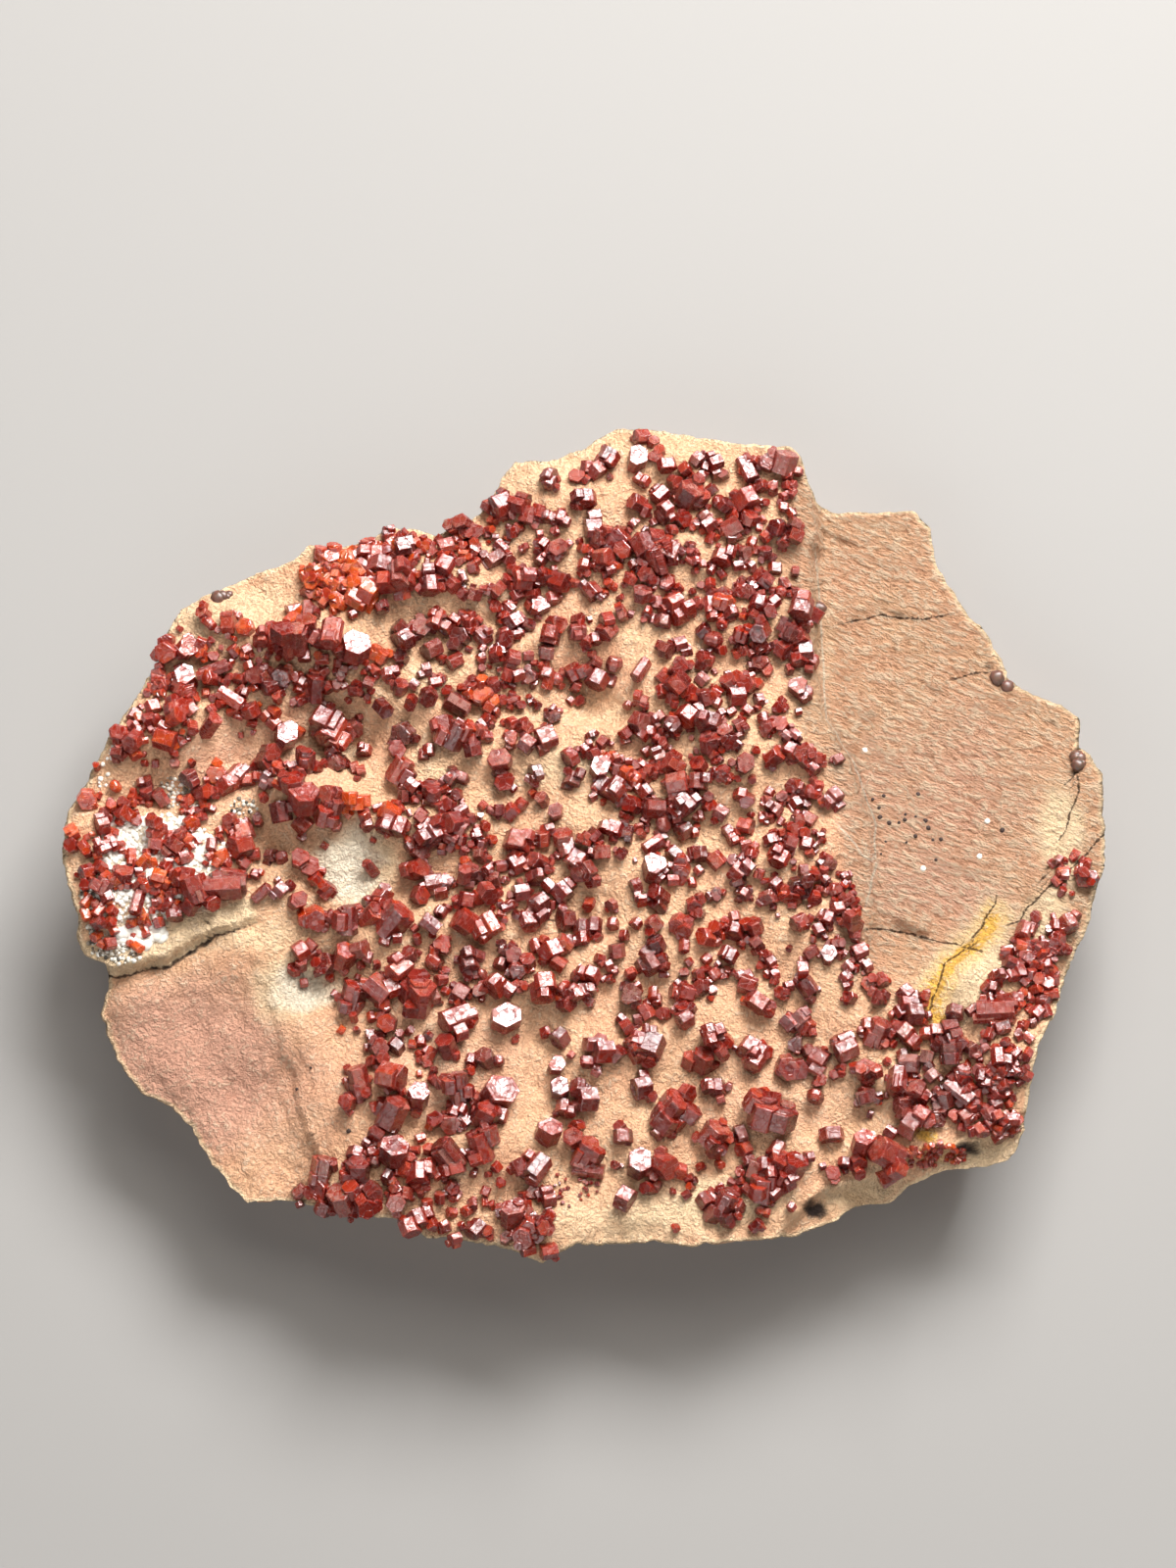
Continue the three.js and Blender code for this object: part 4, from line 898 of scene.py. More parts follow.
        (49.3, -26, 1.5), (37.3, -31, 3.6), (33.7, -35.5, 2), (49.7, -35, 2.4), (45.5, -39.3, 3),
        (57.8, -40.5, 2.8), (57, -43, 2), (44, -48, 3), (39, -47.5, 2.6), (35.5, -49, 2.4),
        (42.2, -23.5, 2), (55.5, -25.5, 2), (60, -35.7, 1.4), (58.5, -22.5, 2.4),
    ],
    "glint": [
        (-50.8, 33.2, 1.5), (-42, 34, 2.5), (-51, 26.3, 1.2), (-48.3, 25.4, 1.8), (-41, 23, 2),
        (-30.5, 42.3, 3), (-20.3, 40.3, 3), (-22.2, 37.3, 3), (-17.5, 38.5, 1.8), (-33.5, 33, 1.5),
        (-38, 26, 1.5), (-18.7, 33, 2), (-17.3, 33.5, 1.6), (-20.5, 26.7, 1), (-12, 50.3, 3.5),
        (-5.5, 48.3, 2.2), (-6, 44.3, 2), (-3.5, 42.8, 2.6), (-4.4, 40.5, 1.4), (-4.5, 36.3, 2),
        (-9.8, 32.8, 3), (-9.6, 24.5, 2.2), (3.5, 57.5, 2.8), (-5, 53.3, 2.2), (12, 56, 2.8),
        (19, 56.8, 2.6), (8.8, 53.8, 2), (16.5, 52.5, 2.4), (23.5, 51, 3.6), (0.3, 50.7, 2.8),
        (1.5, 48.2, 2.4), (29, 50, 1.5), (7.3, 47.7, 1.3), (1.3, 46.4, 3), (0, 40.8, 2), (13.5, 43, 2),
        (16.2, 41.4, 2), (20, 42, 2.8), (22.3, 41, 2), (27.8, 41, 2), (21.5, 33.8, 2.4), (25.2, 35, 2.6),
        (27.5, 35.5, 2), (0.8, 33, 1), (1.7, 30, 2), (24.9, 28.3, 1.6), (26.3, 28.6, 1.6), (-2, 21.5, 1.4),
        (20.8, 24.8, 1.3), (22, 21.3, 3), (25.3, 21, 2), (6.3, 20.5, 1.3), (-62, 19.3, 2.4),
        (-64.5, 16.2, 2), (-60.5, 16, 2.2), (-57, 14.6, 1), (-54.5, 9, 1.2), (-44.7, 17.5, 2),
        (-53.5, 4.5, 1.2), (-52.4, 1.3, 1.2), (-49.3, 2.2, 1.8), (-59.3, 0.6, 1.3), (-47.2, -5.2, 1.6),
        (-64, -5.2, 1.6), (-43.5, -7.5, 2.6), (-44, -6, 1.2), (-61.6, -9.5, 1.4), (-31.7, 14, 2.2),
        (-22.3, 13.2, 2), (-19.5, 7, 1.2), (-14.8, 17, 1.8), (-12.7, 19, 1.6), (-4.5, 19.8, 1.6),
        (-7, 10, 2.2), (-9.7, -3.7, 2.8), (-11.3, -3.6, 1.2), (-3, -8, 3), (-9, -8.3, 2.8),
        (-21.5, 0.3, 3), (-15, -2, 1.6), (-25, -1, 2), (-23.3, -7.3, 1.8), (-20.5, -11, 2),
        (12.8, 16.5, 2.2), (14.8, 18, 3.6), (16.5, 19.5, 1.6), (19.8, 18.7, 1.6), (26, 17.8, 2),
        (30, 15.5, 2), (31, 19, 1.2), (22.3, 13.5, 1.4), (9, 11, 1.6), (6.4, 11.5, 1.3), (1, 15.5, 1.4),
        (0.7, 14.3, 1.3), (0, 13.3, 1.6), (9, 7, 2.4), (14.5, 5, 3.4), (15.8, 1.3, 1.6), (22.5, 6.5, 2.2),
        (20.8, 1.2, 2), (26.7, 7, 1.6), (25.7, 3.5, 1.5), (26.3, 2.5, 1.2), (26.8, -0.5, 2.2),
        (30.7, 5.5, 2.4), (29.5, 13, 2.6), (33, 10.5, 2), (32, -1, 2.2), (22.3, -5, 2.8), (28, -3.3, 2.6),
        (27.3, -7.2, 2.6), (16.5, -4.7, 1.6), (13, -2.3, 2.6), (10.9, -6, 2.2), (7.7, -8.8, 1.8),
        (15.5, -6.5, 1.4), (4.3, 1, 2.6), (5.8, 1.8, 1.6), (21.5, -13.7, 2.8), (33.3, 10.5, 1.5),
        (33.7, 7.5, 1.4), (33.2, -1.2, 1.2), (34.9, -6.3, 1.6), (37.5, -5.3, 1.6), (37.5, -6.5, 1.2),
        (34.8, -12.2, 2.2), (33.7, -13.8, 2), (39, -14.6, 1.5), (37.3, -16.8, 1.2), (37.5, -20.5, 2),
        (37.5, -21.8, 1.4), (46, -22.7, 2.6), (-27.5, -22, 3), (-12.5, -22, 3.4), (-10.7, -22.5, 2.4),
        (-4.5, -17, 3.7), (-16, -32.8, 1.9), (-12.2, -32.8, 2), (-34, -35.8, 1), (-18.5, -40.5, 2.4),
        (-17, -42, 2), (-31, -44.7, 1.4), (-32.5, -46.3, 2.4), (-40.5, -52.7, 1.2), (-27.9, -50.3, 1.8),
        (-23.5, -49.8, 3.4), (-23.5, -56, 3.6), (-20, -57, 2), (4.2, -12.6, 1.8), (7.5, -12.8, 1.8),
        (1, -20.5, 3), (7.6, -21.7, 1.5), (17.6, -17.8, 1.6), (19.2, -18.5, 1.2), (22.5, -20, 1.8),
        (26.6, -18, 2), (27.3, -20, 1.8), (29.3, -21.8, 1.8), (30.5, -20.8, 1.4), (31.3, -19.5, 2.6),
        (13.6, -21.3, 1.6), (13.7, -23, 2), (13.3, -24.8, 1.5), (10.1, -23.8, 2.4), (-0.2, -22.8, 2.4),
        (22.5, -31.3, 2), (-1.8, -32, 1.2), (0.5, -33.2, 2), (1.8, -34.5, 1.5), (19, -36.8, 3),
        (29, -50.8, 2.4), (29.5, -54, 1.4), (50.3, -28.5, 2.6), (39.5, -28.5, 1.2), (50.3, -37, 1.4),
        (37.3, -47.5, 2), (34, -48, 1.2), (60.2, -33.3, 2), (64, -27.3, 1.4), (57, -31.5, 2),
        (59, -20.7, 2),
    ],
    "pink": [
        (-26, 43.8, 3.5), (-29.5, 40.3, 3.5), (-22.5, 39.5, 2.8), (-13.2, 41.8, 2.6), (-9, 39, 3.2),
        (3.8, 40.2, 2), (7.3, 41, 1.8), (8.5, 43.5, 4), (12, 43, 3.5), (29.2, 38.5, 2), (13.5, 34, 3.2),
        (32, 28.5, 3), (33, 27, 2.4), (2, 24.3, 3.4), (-51.5, 8, 3), (-48.3, 9, 2.4), (-69.3, 2, 2.6),
        (-49, 1, 3), (-69, -1.3, 2.8), (-58.5, -11, 2.4), (-9.8, -0.5, 4), (-6.5, -10, 3),
        (-28.5, 1.8, 3.4), (-17.8, 0.8, 2.6), (-21.5, -6.5, 3), (6, 15, 1.6), (-2, 12, 2.8), (4, 7, 3.8),
        (14.3, 1.5, 2.6), (27.5, 4.3, 2), (23.3, -1.3, 2.2), (-1, -3.5, 3), (36.7, 12, 1.8),
        (-40.5, -16.5, 3), (-40.2, -20.5, 1.6), (-21.5, -23.5, 2.2), (-17.7, -23, 3), (-6, -23, 3.4),
        (-15.5, -45, 2), (-30.3, -46, 1.8), (-5.5, -28.5, 1.8), (14.5, -27, 2.8), (-2.8, -22.5, 2.6),
        (24.8, -24.3, 3.4), (18.3, -29.3, 3.4), (2.8, -32, 3.4), (0.5, -38.5, 3.8), (8.3, -36.7, 3.2),
        (22.3, -43.3, 2.4), (5.7, -43.8, 2.6), (5.8, -53, 3.6), (26.7, -49, 3), (17.3, -53, 2.6),
        (32, -46.8, 1.8), (46, -28.7, 3.4), (33.5, -32.5, 3.2), (46.7, -42.3, 3.8), (54.3, -41, 2.8),
        (35.3, -43.5, 3.2),
    ],
    "grey": [
        (-46.5, 29, 2.5), (-45.3, 22.3, 2.6), (-25.8, 40.3, 2.2), (-36.5, 31.5, 2), (-28.2, 24.3, 2),
        (-26, 29.5, 3.5), (-22, 28.5, 3), (-20, 32, 2.2), (-22.7, 25.3, 2), (-9.6, 36.8, 2),
        (-14.6, 30.5, 2.6), (17.5, 48.2, 2.8), (11.4, 32.7, 2.6), (9.2, 33.8, 1.8), (14, 29.3, 2.2),
        (-46, 8, 2.2), (-43.5, -2.3, 2.2), (-19, 8.8, 2.4), (-8.2, 13.8, 2.8), (-7, -6, 2.4),
        (-7.8, -12.5, 3), (-31.2, 2, 2), (-14.2, -5.3, 2), (10.8, 18.2, 2), (10.8, 12.3, 2.4),
        (-1.5, 8.8, 2.2), (13.3, 3.5, 2.2), (31.5, -5, 2), (16.8, -2.3, 2.6), (7.5, -7.3, 2.4),
        (36, 6.3, 2.6), (-16.5, -18.5, 3), (-12, -18.5, 2), (-26.8, -30.7, 2.4), (-3.5, -29.4, 2.8),
        (0, -13.5, 3), (-1, -15.3, 2.4), (9.7, -18.8, 3), (20.5, -17, 2.4), (18.8, -20, 2.2),
        (7.6, -26.5, 1.4), (30.7, -26.5, 2.8), (10.6, -43.3, 2), (23.5, -47.2, 2), (47, -26, 3.2),
        (53, -29, 3), (33, -38, 2.8), (47.5, -37.3, 2.8), (53, -26, 2.6), (57.3, -36, 2.4),
    ],
    "dark": [
        (-47.5, 24, 3), (-43.5, 24, 3), (-29, 34, 2), (-26.3, 27, 2.2), (-18, 30.5, 3), (-33, 22, 2),
        (-10.5, 46.3, 2), (-8.2, 32.2, 2), (-11.5, 30, 3.4), (21.5, 46.8, 3.2), (23.1, 43.2, 2.4),
        (26.3, 43.3, 2.4), (8.5, 36.5, 3), (11.9, 28.2, 2.6), (17.3, 31.3, 2.2), (-0.5, 21.6, 1.8),
        (-57, 9.5, 2.6), (-43.5, 3.5, 4), (-63, 7.5, 2.6), (-45, -2, 2.6), (-36, 12, 3), (-29, 19.5, 2.6),
        (-26, 16, 3.8), (-16, 13, 3), (-4.3, 18.5, 2.2), (-11.5, 8.5, 3.2), (-9.7, -11.5, 1.5),
        (-14.8, -2.5, 2.4), (-13, -6.5, 2.4), (8.3, 17.5, 3.4), (18, 14, 3.5), (21, 14, 2.6),
        (11.5, 2.3, 3), (22.3, -6.3, 2), (31, -7.5, 3.5), (26.5, -9, 2.6), (10.8, -8.5, 3),
        (5.2, -2.7, 1.8), (6, 0.8, 2.4), (0, -5.3, 3.6), (35.2, -3.8, 2.2), (-11.5, -16.5, 2),
        (-19.5, -31, 3.4), (-14, -32.5, 2.6), (-21.5, -34.5, 1.6), (-31.5, -48, 3), (4.8, -16.8, 2.4),
        (10.5, -16, 2.6), (32, -22, 3), (6.5, -23, 3.4), (-2.5, -24.5, 2.8), (30.3, -30, 2.6),
        (18.5, -55, 3), (20.5, -56, 2.4), (24.5, -56.5, 2), (40.3, -38, 3.4), (46.5, -33.5, 3.4),
        (49, -32.3, 2.4), (52.3, -31.7, 3.8), (51.5, -38.5, 2.6), (50.2, -41.3, 2.8), (55.5, -31.5, 2.4),
    ],
    "orange": [
        (-49, 31, 3), (-42, 31.5, 3.5), (-23, 43.8, 1.8), (-31, 36, 4), (-33, 37.5, 2), (-37.5, 35, 2),
        (-35.5, 34.5, 2.5), (-29.3, 27, 2.6), (-14.5, 21.5, 3.5), (20, 35.5, 3), (-64, 17.7, 1.8),
        (-53, 10, 3), (-42, 16.5, 2.4), (-46.8, 20, 1), (-67.5, 8, 2.2), (-71.7, 6, 3), (-73.5, 1, 2.6),
        (-52, -2.7, 2.4), (-61.8, -3.7, 1.6), (-61, -6, 2.8), (-33, 5, 3.5), (-28, 3.5, 3),
        (-13.5, -13, 3.5), (-38.5, -11.5, 3.5), (3.3, 12.3, 2), (7, 9, 3), (-34.7, -27.8, 1.2),
        (17.5, -14.8, 2.8), (43.8, -43, 2),
    ],
    "hexagon": [
        (12, 38.5, 2.8), (-12, 11.5, 3.6),
    ],
    "hexagon_glint": [
        (-6.3, 35, 3), (2.3, 10.5, 3.4), (35, -17.3, 3), (-3.4, -36.7, 3.2), (-3.9, -33.5, 2.8),
    ],
    "long": [
        (-53.5, 23.5, 3.5), (-21.5, 33, 3.2), (8.3, 25.3, 3.2), (-54, 16.5, 3.6), (-55, 7, 3.6),
        (-65, -2.7, 2.2), (-46.3, -8, 2.8), (-64, -9.8, 3), (-30.6, -4, 2.4), (14.3, -15.8, 2.6),
        (53.5, -37.5, 4),
    ],
    "long_glint": [
        (-45, 30.5, 2.5), (-51, 20.5, 3.5), (23.8, 56, 3.4), (18.3, 34.5, 3), (10, -1, 3.2),
    ],
}

# Fields of tiny crystals: x, y, half length, half width, turn in degrees, number, width, and tone
# from dark red at 0 to orange at 1.
SWARMS = [
    (-35.5, 39.5, 5.5, 4.5, 0, 100, 1.9, 0.80), (-31, 43.5, 4, 2.5, 30, 50, 1.2, 0.85),
    (62.5, -28, 6.2, 15.5, -12, 160, 1.6, 0.45), (58, -38, 6, 6, 0, 50, 1.8, 0.4),
    (66, -16, 4, 5, 0, 35, 1.5, 0.45), (-62, -2, 10, 10, 0, 45, 1.4, 0.6),
    (-62, 18, 6, 8, -35, 50, 1.5, 0.55), (-50, 24, 9, 6, -10, 50, 1.5, 0.5),
    (-52, 3, 6, 8, 0, 30, 1.4, 0.5), (-38, 24, 9, 6, 0, 45, 1.5, 0.45),
    (-24, 42, 9, 5, 10, 50, 1.4, 0.6), (-15, 36, 9, 8, 0, 40, 1.3, 0.4),
    (-14, 24, 10, 5, 0, 30, 1.3, 0.4), (-8, 47, 7, 5, 0, 30, 1.2, 0.45),
    (12, 42, 14, 7, 0, 55, 1.2, 0.4), (26, 32, 7, 8, 0, 40, 1.3, 0.4), (22, 51, 9, 7, 0, 40, 1.2, 0.45),
    (20, 14, 10, 7, 0, 45, 1.2, 0.4), (8, 4, 9, 8, 0, 40, 1.2, 0.4), (28, -2, 7, 9, 0, 45, 1.2, 0.4),
    (36, -12, 4, 9, 10, 35, 1.1, 0.4), (-22, 2, 10, 7, 0, 40, 1.3, 0.5),
    (-12, -6, 10, 8, 0, 35, 1.3, 0.45), (-26, -22, 10, 9, 0, 35, 1.4, 0.45),
    (-24, -38, 9, 9, 0, 35, 1.4, 0.55), (-28, -50, 10, 6, 0, 50, 1.4, 0.45),
    (-12, -54, 9, 6, 0, 25, 1.4, 0.45), (22, -50, 8, 6, 0, 30, 1.3, 0.4),
    (44, -34, 9, 9, 0, 30, 1.3, 0.4), (20, -18, 10, 6, 0, 35, 1.2, 0.4),
    (70, -5, 3, 4, 0, 16, 1.3, 0.5), (49.5, -46.2, 5, 1.3, 5, 70, 0.8, 0.65),
    (-66, -9, 6, 8, -10, 36, 1.5, 0.75), (-2, -51, 4, 3, 0, 30, 0.6, 0.35),
]

dice = np.random.default_rng(29)


def unit(vectors):
    """Vectors scaled to length 1."""
    return vectors / np.linalg.norm(vectors, axis=-1, keepdims=True)


def spun(vectors, axes, angles):
    """Vectors turned about unit axes, by Rodrigues' formula."""
    c, s = np.cos(angles)[:, None], np.sin(angles)[:, None]
    held = np.sum(axes * vectors, axis=1, keepdims=True)
    return vectors * c + np.cross(axes, vectors) * s + axes * held * (1 - c)


def scattered(middle, spread, count):
    """Unit vectors at a random angle from the middle one, up to the spread in degrees."""
    across = unit(np.cross(middle, dice.normal(size=(count, 3))))
    tip = np.radians(spread) * np.sqrt(dice.random(count))[:, None]
    return unit(np.cos(tip) * middle + np.sin(tip) * across)


def leaning(lean, towards, spin):
    """Axis of a prism that leans from upright towards a direction, and the outward direction of
    one of its side faces: with no spin that is the uppermost one."""
    lean, towards, spin = np.radians(lean), np.radians(towards), np.radians(spin)
    flat = np.stack([np.cos(towards), np.sin(towards), np.zeros_like(towards)], axis=1)
    up = np.array([0.0, 0.0, 1.0])
    axis = np.sin(lean)[:, None] * flat + np.cos(lean)[:, None] * up
    side = np.sin(lean)[:, None] * up - np.cos(lean)[:, None] * flat
    return axis, spun(side, axis, spin)


def shine(axis, side):
    """Cosine of the smallest angle between any face of a prism and the glint direction."""
    best = np.abs(axis @ glint_direction)
    for turn in range(6):
        best = np.maximum(best, spun(side, axis, np.full(len(axis), turn * np.pi / 3.0)) @ glint_direction)
    return best


def dull(count, limit):
    """Random prism directions, with no face nearer to the glint direction than the limit."""
    axis = np.zeros((count, 3))
    side = np.zeros((count, 3))
    left = np.arange(count)
    while len(left):
        lean = 90.0 * dice.random(len(left)) ** 0.8
        axis[left], side[left] = leaning(lean, 360.0 * dice.random(len(left)), 60.0 * dice.random(len(left)))
        left = left[shine(axis[left], side[left]) > math.cos(math.radians(limit))]
    return axis, side


def turned_to_light(count, near, far):
    """Prism directions with one side face between two angles from the glint direction, and the
    end face towards the viewer's side."""
    side = scattered(glint_direction, far, count)
    off = np.degrees(np.arccos(np.clip(side @ glint_direction, -1, 1)))
    if near > 0.0:
        farther = unit(glint_direction + (side - glint_direction) * far / near)
        side = np.where((off < near)[:, None], farther, side)
    heading = np.radians(dice.uniform(185.0, 330.0, count))
    toward = np.stack([np.cos(heading), np.sin(heading), np.zeros(count)], axis=1)
    axis = unit(toward - side * np.sum(toward * side, axis=1, keepdims=True))
    return axis, side


APOTHEM_SHARE = 0.433
UNEVENNESS = 0.19
RING = 12


def prisms(name, centre, axis, side, width, length, bevel, tone, frost, taper=0.0, terrace=0.0,
           terraces=1):
    """Joined six-sided prisms. Each side face lies at its own distance from the axis, and two
    neighbours meet at (a(n - m/2) + b(m - n/2)) / (3/4), for distances a, b and directions n, m.
    Two points near each corner give it a narrow bevel, and rings of these twelve points are
    carried up the axis: foot, foot edge, head edge, head, and, on a stepped one, the edge and top
    of one terrace or two. A taper draws both ends in, and a terrace above or below 0 stands out of
    or into the head."""
    count = len(width)
    bevel = np.broadcast_to(bevel, (count,))
    apothem = width[:, None] * APOTHEM_SHARE * (1.0 + UNEVENNESS * dice.uniform(-1.0, 1.0, (count, 6)))
    angle = np.arange(6) * np.pi / 3.0
    normal = np.stack([np.cos(angle), np.sin(angle)], axis=1)
    after, next_apothem = np.roll(normal, -1, axis=0), np.roll(apothem, -1, axis=1)
    corner = apothem[..., None] * (normal - 0.5 * after) + next_apothem[..., None] * (after - 0.5 * normal)
    corner /= 0.75
    before = np.roll(corner, 1, axis=1)
    cut = bevel[:, None, None] * (corner - before)
    ring = np.stack([before + cut, corner - cut], axis=2).reshape(count, RING, 2)
    half = 0.5 * length
    edge = np.minimum(bevel * 0.7 * width, 0.2 * length)
    inset = 1.0 - 1.6 * bevel
    levels = [(inset - taper, -half), (1.0 - taper, -half + edge)]
    if np.any(taper > 0):
        levels.append((1.0 + 0.3 * taper, 0.0 * half))
    levels += [(1.0 - taper, half - edge), (inset - taper, half)]
    if np.any(terrace != 0):
        share = dice.uniform(0.45, 0.78, count)
        levels += [(share, half), (share - 0.05, half + terrace)]
        if terraces == 2:
            levels += [(share * 0.62, half + terrace), (share * 0.58, half + 2.0 * terrace)]
    third = np.cross(axis, side)
    points, places = [], []
    offset = dice.uniform(-40.0, 40.0, (count, 1, 3))
    for scale, height in levels:
        flat = ring * np.broadcast_to(scale, (count,))[:, None, None]
        tall = height[:, None, None]
        level = centre[:, None] + flat[..., :1] * side[:, None] + flat[..., 1:] * third[:, None]
        points.append(level + tall * axis[:, None])
        places.append(np.concatenate([flat, np.broadcast_to(tall, (count, RING, 1))], axis=2) + offset)
    points, places = np.stack(points, axis=1), np.stack(places, axis=1)
    index = np.arange(points[..., 0].size).reshape(points.shape[:3])
    low, high = index[:, :-1], index[:, 1:]
    quads = np.stack([low, np.roll(low, -1, axis=2), np.roll(high, -1, axis=2), high], axis=-1)
    caps = np.concatenate([index[:, 0, ::-1], index[:, -1]])
    piece = new_piece(name, points.reshape(-1, 3), [quads.reshape(-1, 4), caps], crystal_material)
    face_tones_and_edge_highlights = dice.random((count, 1, RING))
    # Painted highlight: the bevel faces get the upper half of the range, so the edges look lighter.
    face_tones_and_edge_highlights[..., 1::2] = 0.5 * (face_tones_and_edge_highlights[..., 1::2] + 1.0)
    face_tones_and_edge_highlights = np.broadcast_to(face_tones_and_edge_highlights, (count, len(levels) - 1, RING))
    paint_faces(piece, "face_tone_and_edge_highlight", np.concatenate([face_tones_and_edge_highlights.ravel(), dice.random(2 * count)]))
    paint(piece, "crystal_place", places.reshape(-1, 3))
    paint(piece, "tone", np.repeat(tone, len(levels) * RING))
    paint(piece, "frost", np.repeat(frost, len(levels) * RING))
    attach(piece, "root")
    return piece


RED_TONES = [
    (0.0, (0.105, 0.003, 0.002, 1.0)), (0.28, (0.26, 0.010, 0.004, 1.0)),
    (0.55, (0.43, 0.026, 0.008, 1.0)), (0.8, (0.62, 0.056, 0.008, 1.0)),
    (1.0, (0.90, 0.125, 0.010, 1.0)),
]
HAZE_AND_SHEEN_PINK = (0.43, 0.125, 0.088, 1.0)
HAZE_AND_SHEEN_GREY = (0.50, 0.25, 0.19, 1.0)
DUSTING_PINK = (0.78, 0.50, 0.43, 1.0)
FACE_RELIEF = 0.001

# The red, by each crystal's own tone, with clouds in it, and painted light that makes faces that look up
# lighter.
crystal_material, red, red_shader = new_material("vanadinite")
own_place = red.add("ShaderNodeAttribute", {"attribute_name": "crystal_place"}).outputs["Vector"]
inner_cloud = red.noise(own_place, 0.55, 3.0, 0.6)
film = red.noise(own_place, 1.3, 4.0, 0.65)
face_tone_and_edge_highlight = red.field("face_tone_and_edge_highlight")
frost_share = red.field("frost")
true_normal = red.add("ShaderNodeNewGeometry").outputs["True Normal"]
# How far each face looks up, used below for painted light and painted sheen.
upper = red.ramp(red.add("ShaderNodeSeparateXYZ", i0=true_normal).outputs[2], 0.15, 0.95)
lift = red.plus(red.times(red.minus(inner_cloud, 0.5), 0.85), red.times(red.minus(face_tone_and_edge_highlight, 0.5), 0.34))
# Painted light: faces that look up are lifted to a lighter red.
lift = red.plus(lift, red.times(red.minus(upper, 0.6), 0.22))
red_colour = red.tones(red.plus(red.field("tone"), lift, clamp=True), RED_TONES)

# A pinkish haze on frosted faces, with a painted sheen that makes it stronger on faces that look up, and a
# fine pale dusting on the most frosted.
frost_and_sheen = red.times(frost_share, red.plus(red.times(face_tone_and_edge_highlight, 1.1), 0.4))
# Painted sheen: the haze grows on faces that look up.
frost_and_sheen = red.times(frost_and_sheen, red.plus(red.times(upper, 0.9), 0.35))
frost_and_sheen = red.times(frost_and_sheen, red.minus(1.3, red.field("tone"), clamp=True))
haze_and_sheen = red.times(frost_and_sheen, red.ramp(film, 0.25, 0.70), clamp=True)
haze_and_sheen_colour = red.mix(red.ramp(face_tone_and_edge_highlight, 0.6, 0.95), HAZE_AND_SHEEN_PINK, HAZE_AND_SHEEN_GREY)
red_colour = red.mix(red.times(haze_and_sheen, 0.62), red_colour, haze_and_sheen_colour)
dusting = red.ramp(red.noise(own_place, 4.2, 1.0, 0.5), 0.64, 0.74)
dusting = red.times(dusting, red.times(red.ramp(frost_share, 0.1, 0.6), 0.32))
red_colour = red.mix(dusting, red_colour, DUSTING_PINK)

# Growth marks: patches that tip a little and shine unevenly, seams between them and fine bands.
patches = red.add("ShaderNodeTexVoronoi", {"distance": "CHEBYCHEV"}, Vector=own_place, Scale=1.4)
patch_share = red.add("ShaderNodeSeparateXYZ", i0=patches.outputs["Color"]).outputs[0]
patch_tilt = red.vector("SUBTRACT", patches.outputs["Color"], (0.5, 0.5, 0.5)).outputs[0]
within = red.vector("SUBTRACT", own_place, patches.outputs["Position"]).outputs[0]
tilted = red.vector("DOT_PRODUCT", patch_tilt, within).outputs["Value"]
edges = red.add("ShaderNodeTexVoronoi", {"feature": "DISTANCE_TO_EDGE"}, Vector=own_place, Scale=0.9)
seam = red.ramp(edges.outputs["Distance"], 0.04, 0.01)
bands = red.add("ShaderNodeTexWave", {"wave_type": "BANDS", "bands_direction": "Z"}, Vector=own_place)
for key, value in (("Scale", 1.7), ("Distortion", 2.5), ("Detail", 2.0)):
    red.feed(bands, key, value)
gloss = red.plus(red.times(haze_and_sheen, 0.22), red.times(film, 0.10))
gloss = red.plus(gloss, red.times(red.ramp(patch_share, 0.76, 0.84), 0.40))
gloss = red.plus(gloss, red.times(seam, 0.3), clamp=True)
growth = red.plus(red.times(bands.outputs["Fac"], 0.012), red.times(film, 0.06))
growth = red.plus(growth, red.times(tilted, 0.15))
growth = red.minus(growth, red.times(seam, 0.03))
red_bump = red.add("ShaderNodeBump", Height=growth, Strength=1.0, Distance=FACE_RELIEF)
red.feed(red_shader, "Base_Color", red_colour)
red.feed(red_shader, "Roughness", gloss)
red.feed(red_shader, "Normal", red_bump.outputs[0])
set_inputs(
    red_shader, IOR=1.93, Transmission_Weight=0.3, Subsurface_Weight=0.45,
    Subsurface_Radius=(1.0, 0.16, 0.07), Subsurface_Scale=0.0011,
)

large = np.array(LARGE, dtype=float)
large_axis, large_side = leaning(large[:, 4], large[:, 5], large[:, 6])
lean = np.radians(large[:, 4])
half_height = np.cos(lean) * large[:, 3] / 2.0 + np.sin(lean) * large[:, 2] / 2.0
large_z = broad_height(large[:, 0], large[:, 1]) + 0.45 * half_height + large[:, 7]
large_centre = np.stack([large[:, 0], large[:, 1], large_z], axis=1)
count = len(large)
heads = dice.uniform(-0.12, 0.12, count)
large_pieces = prisms(
    "large_crystals", large_centre, large_axis, large_side, 0.9 * large[:, 2], 0.95 * large[:, 3],
    0.025, dice.uniform(0.2, 0.6, count), dice.uniform(0.2, 1.0, count), terrace=heads,
)
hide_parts(*[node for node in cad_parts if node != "matrix"])

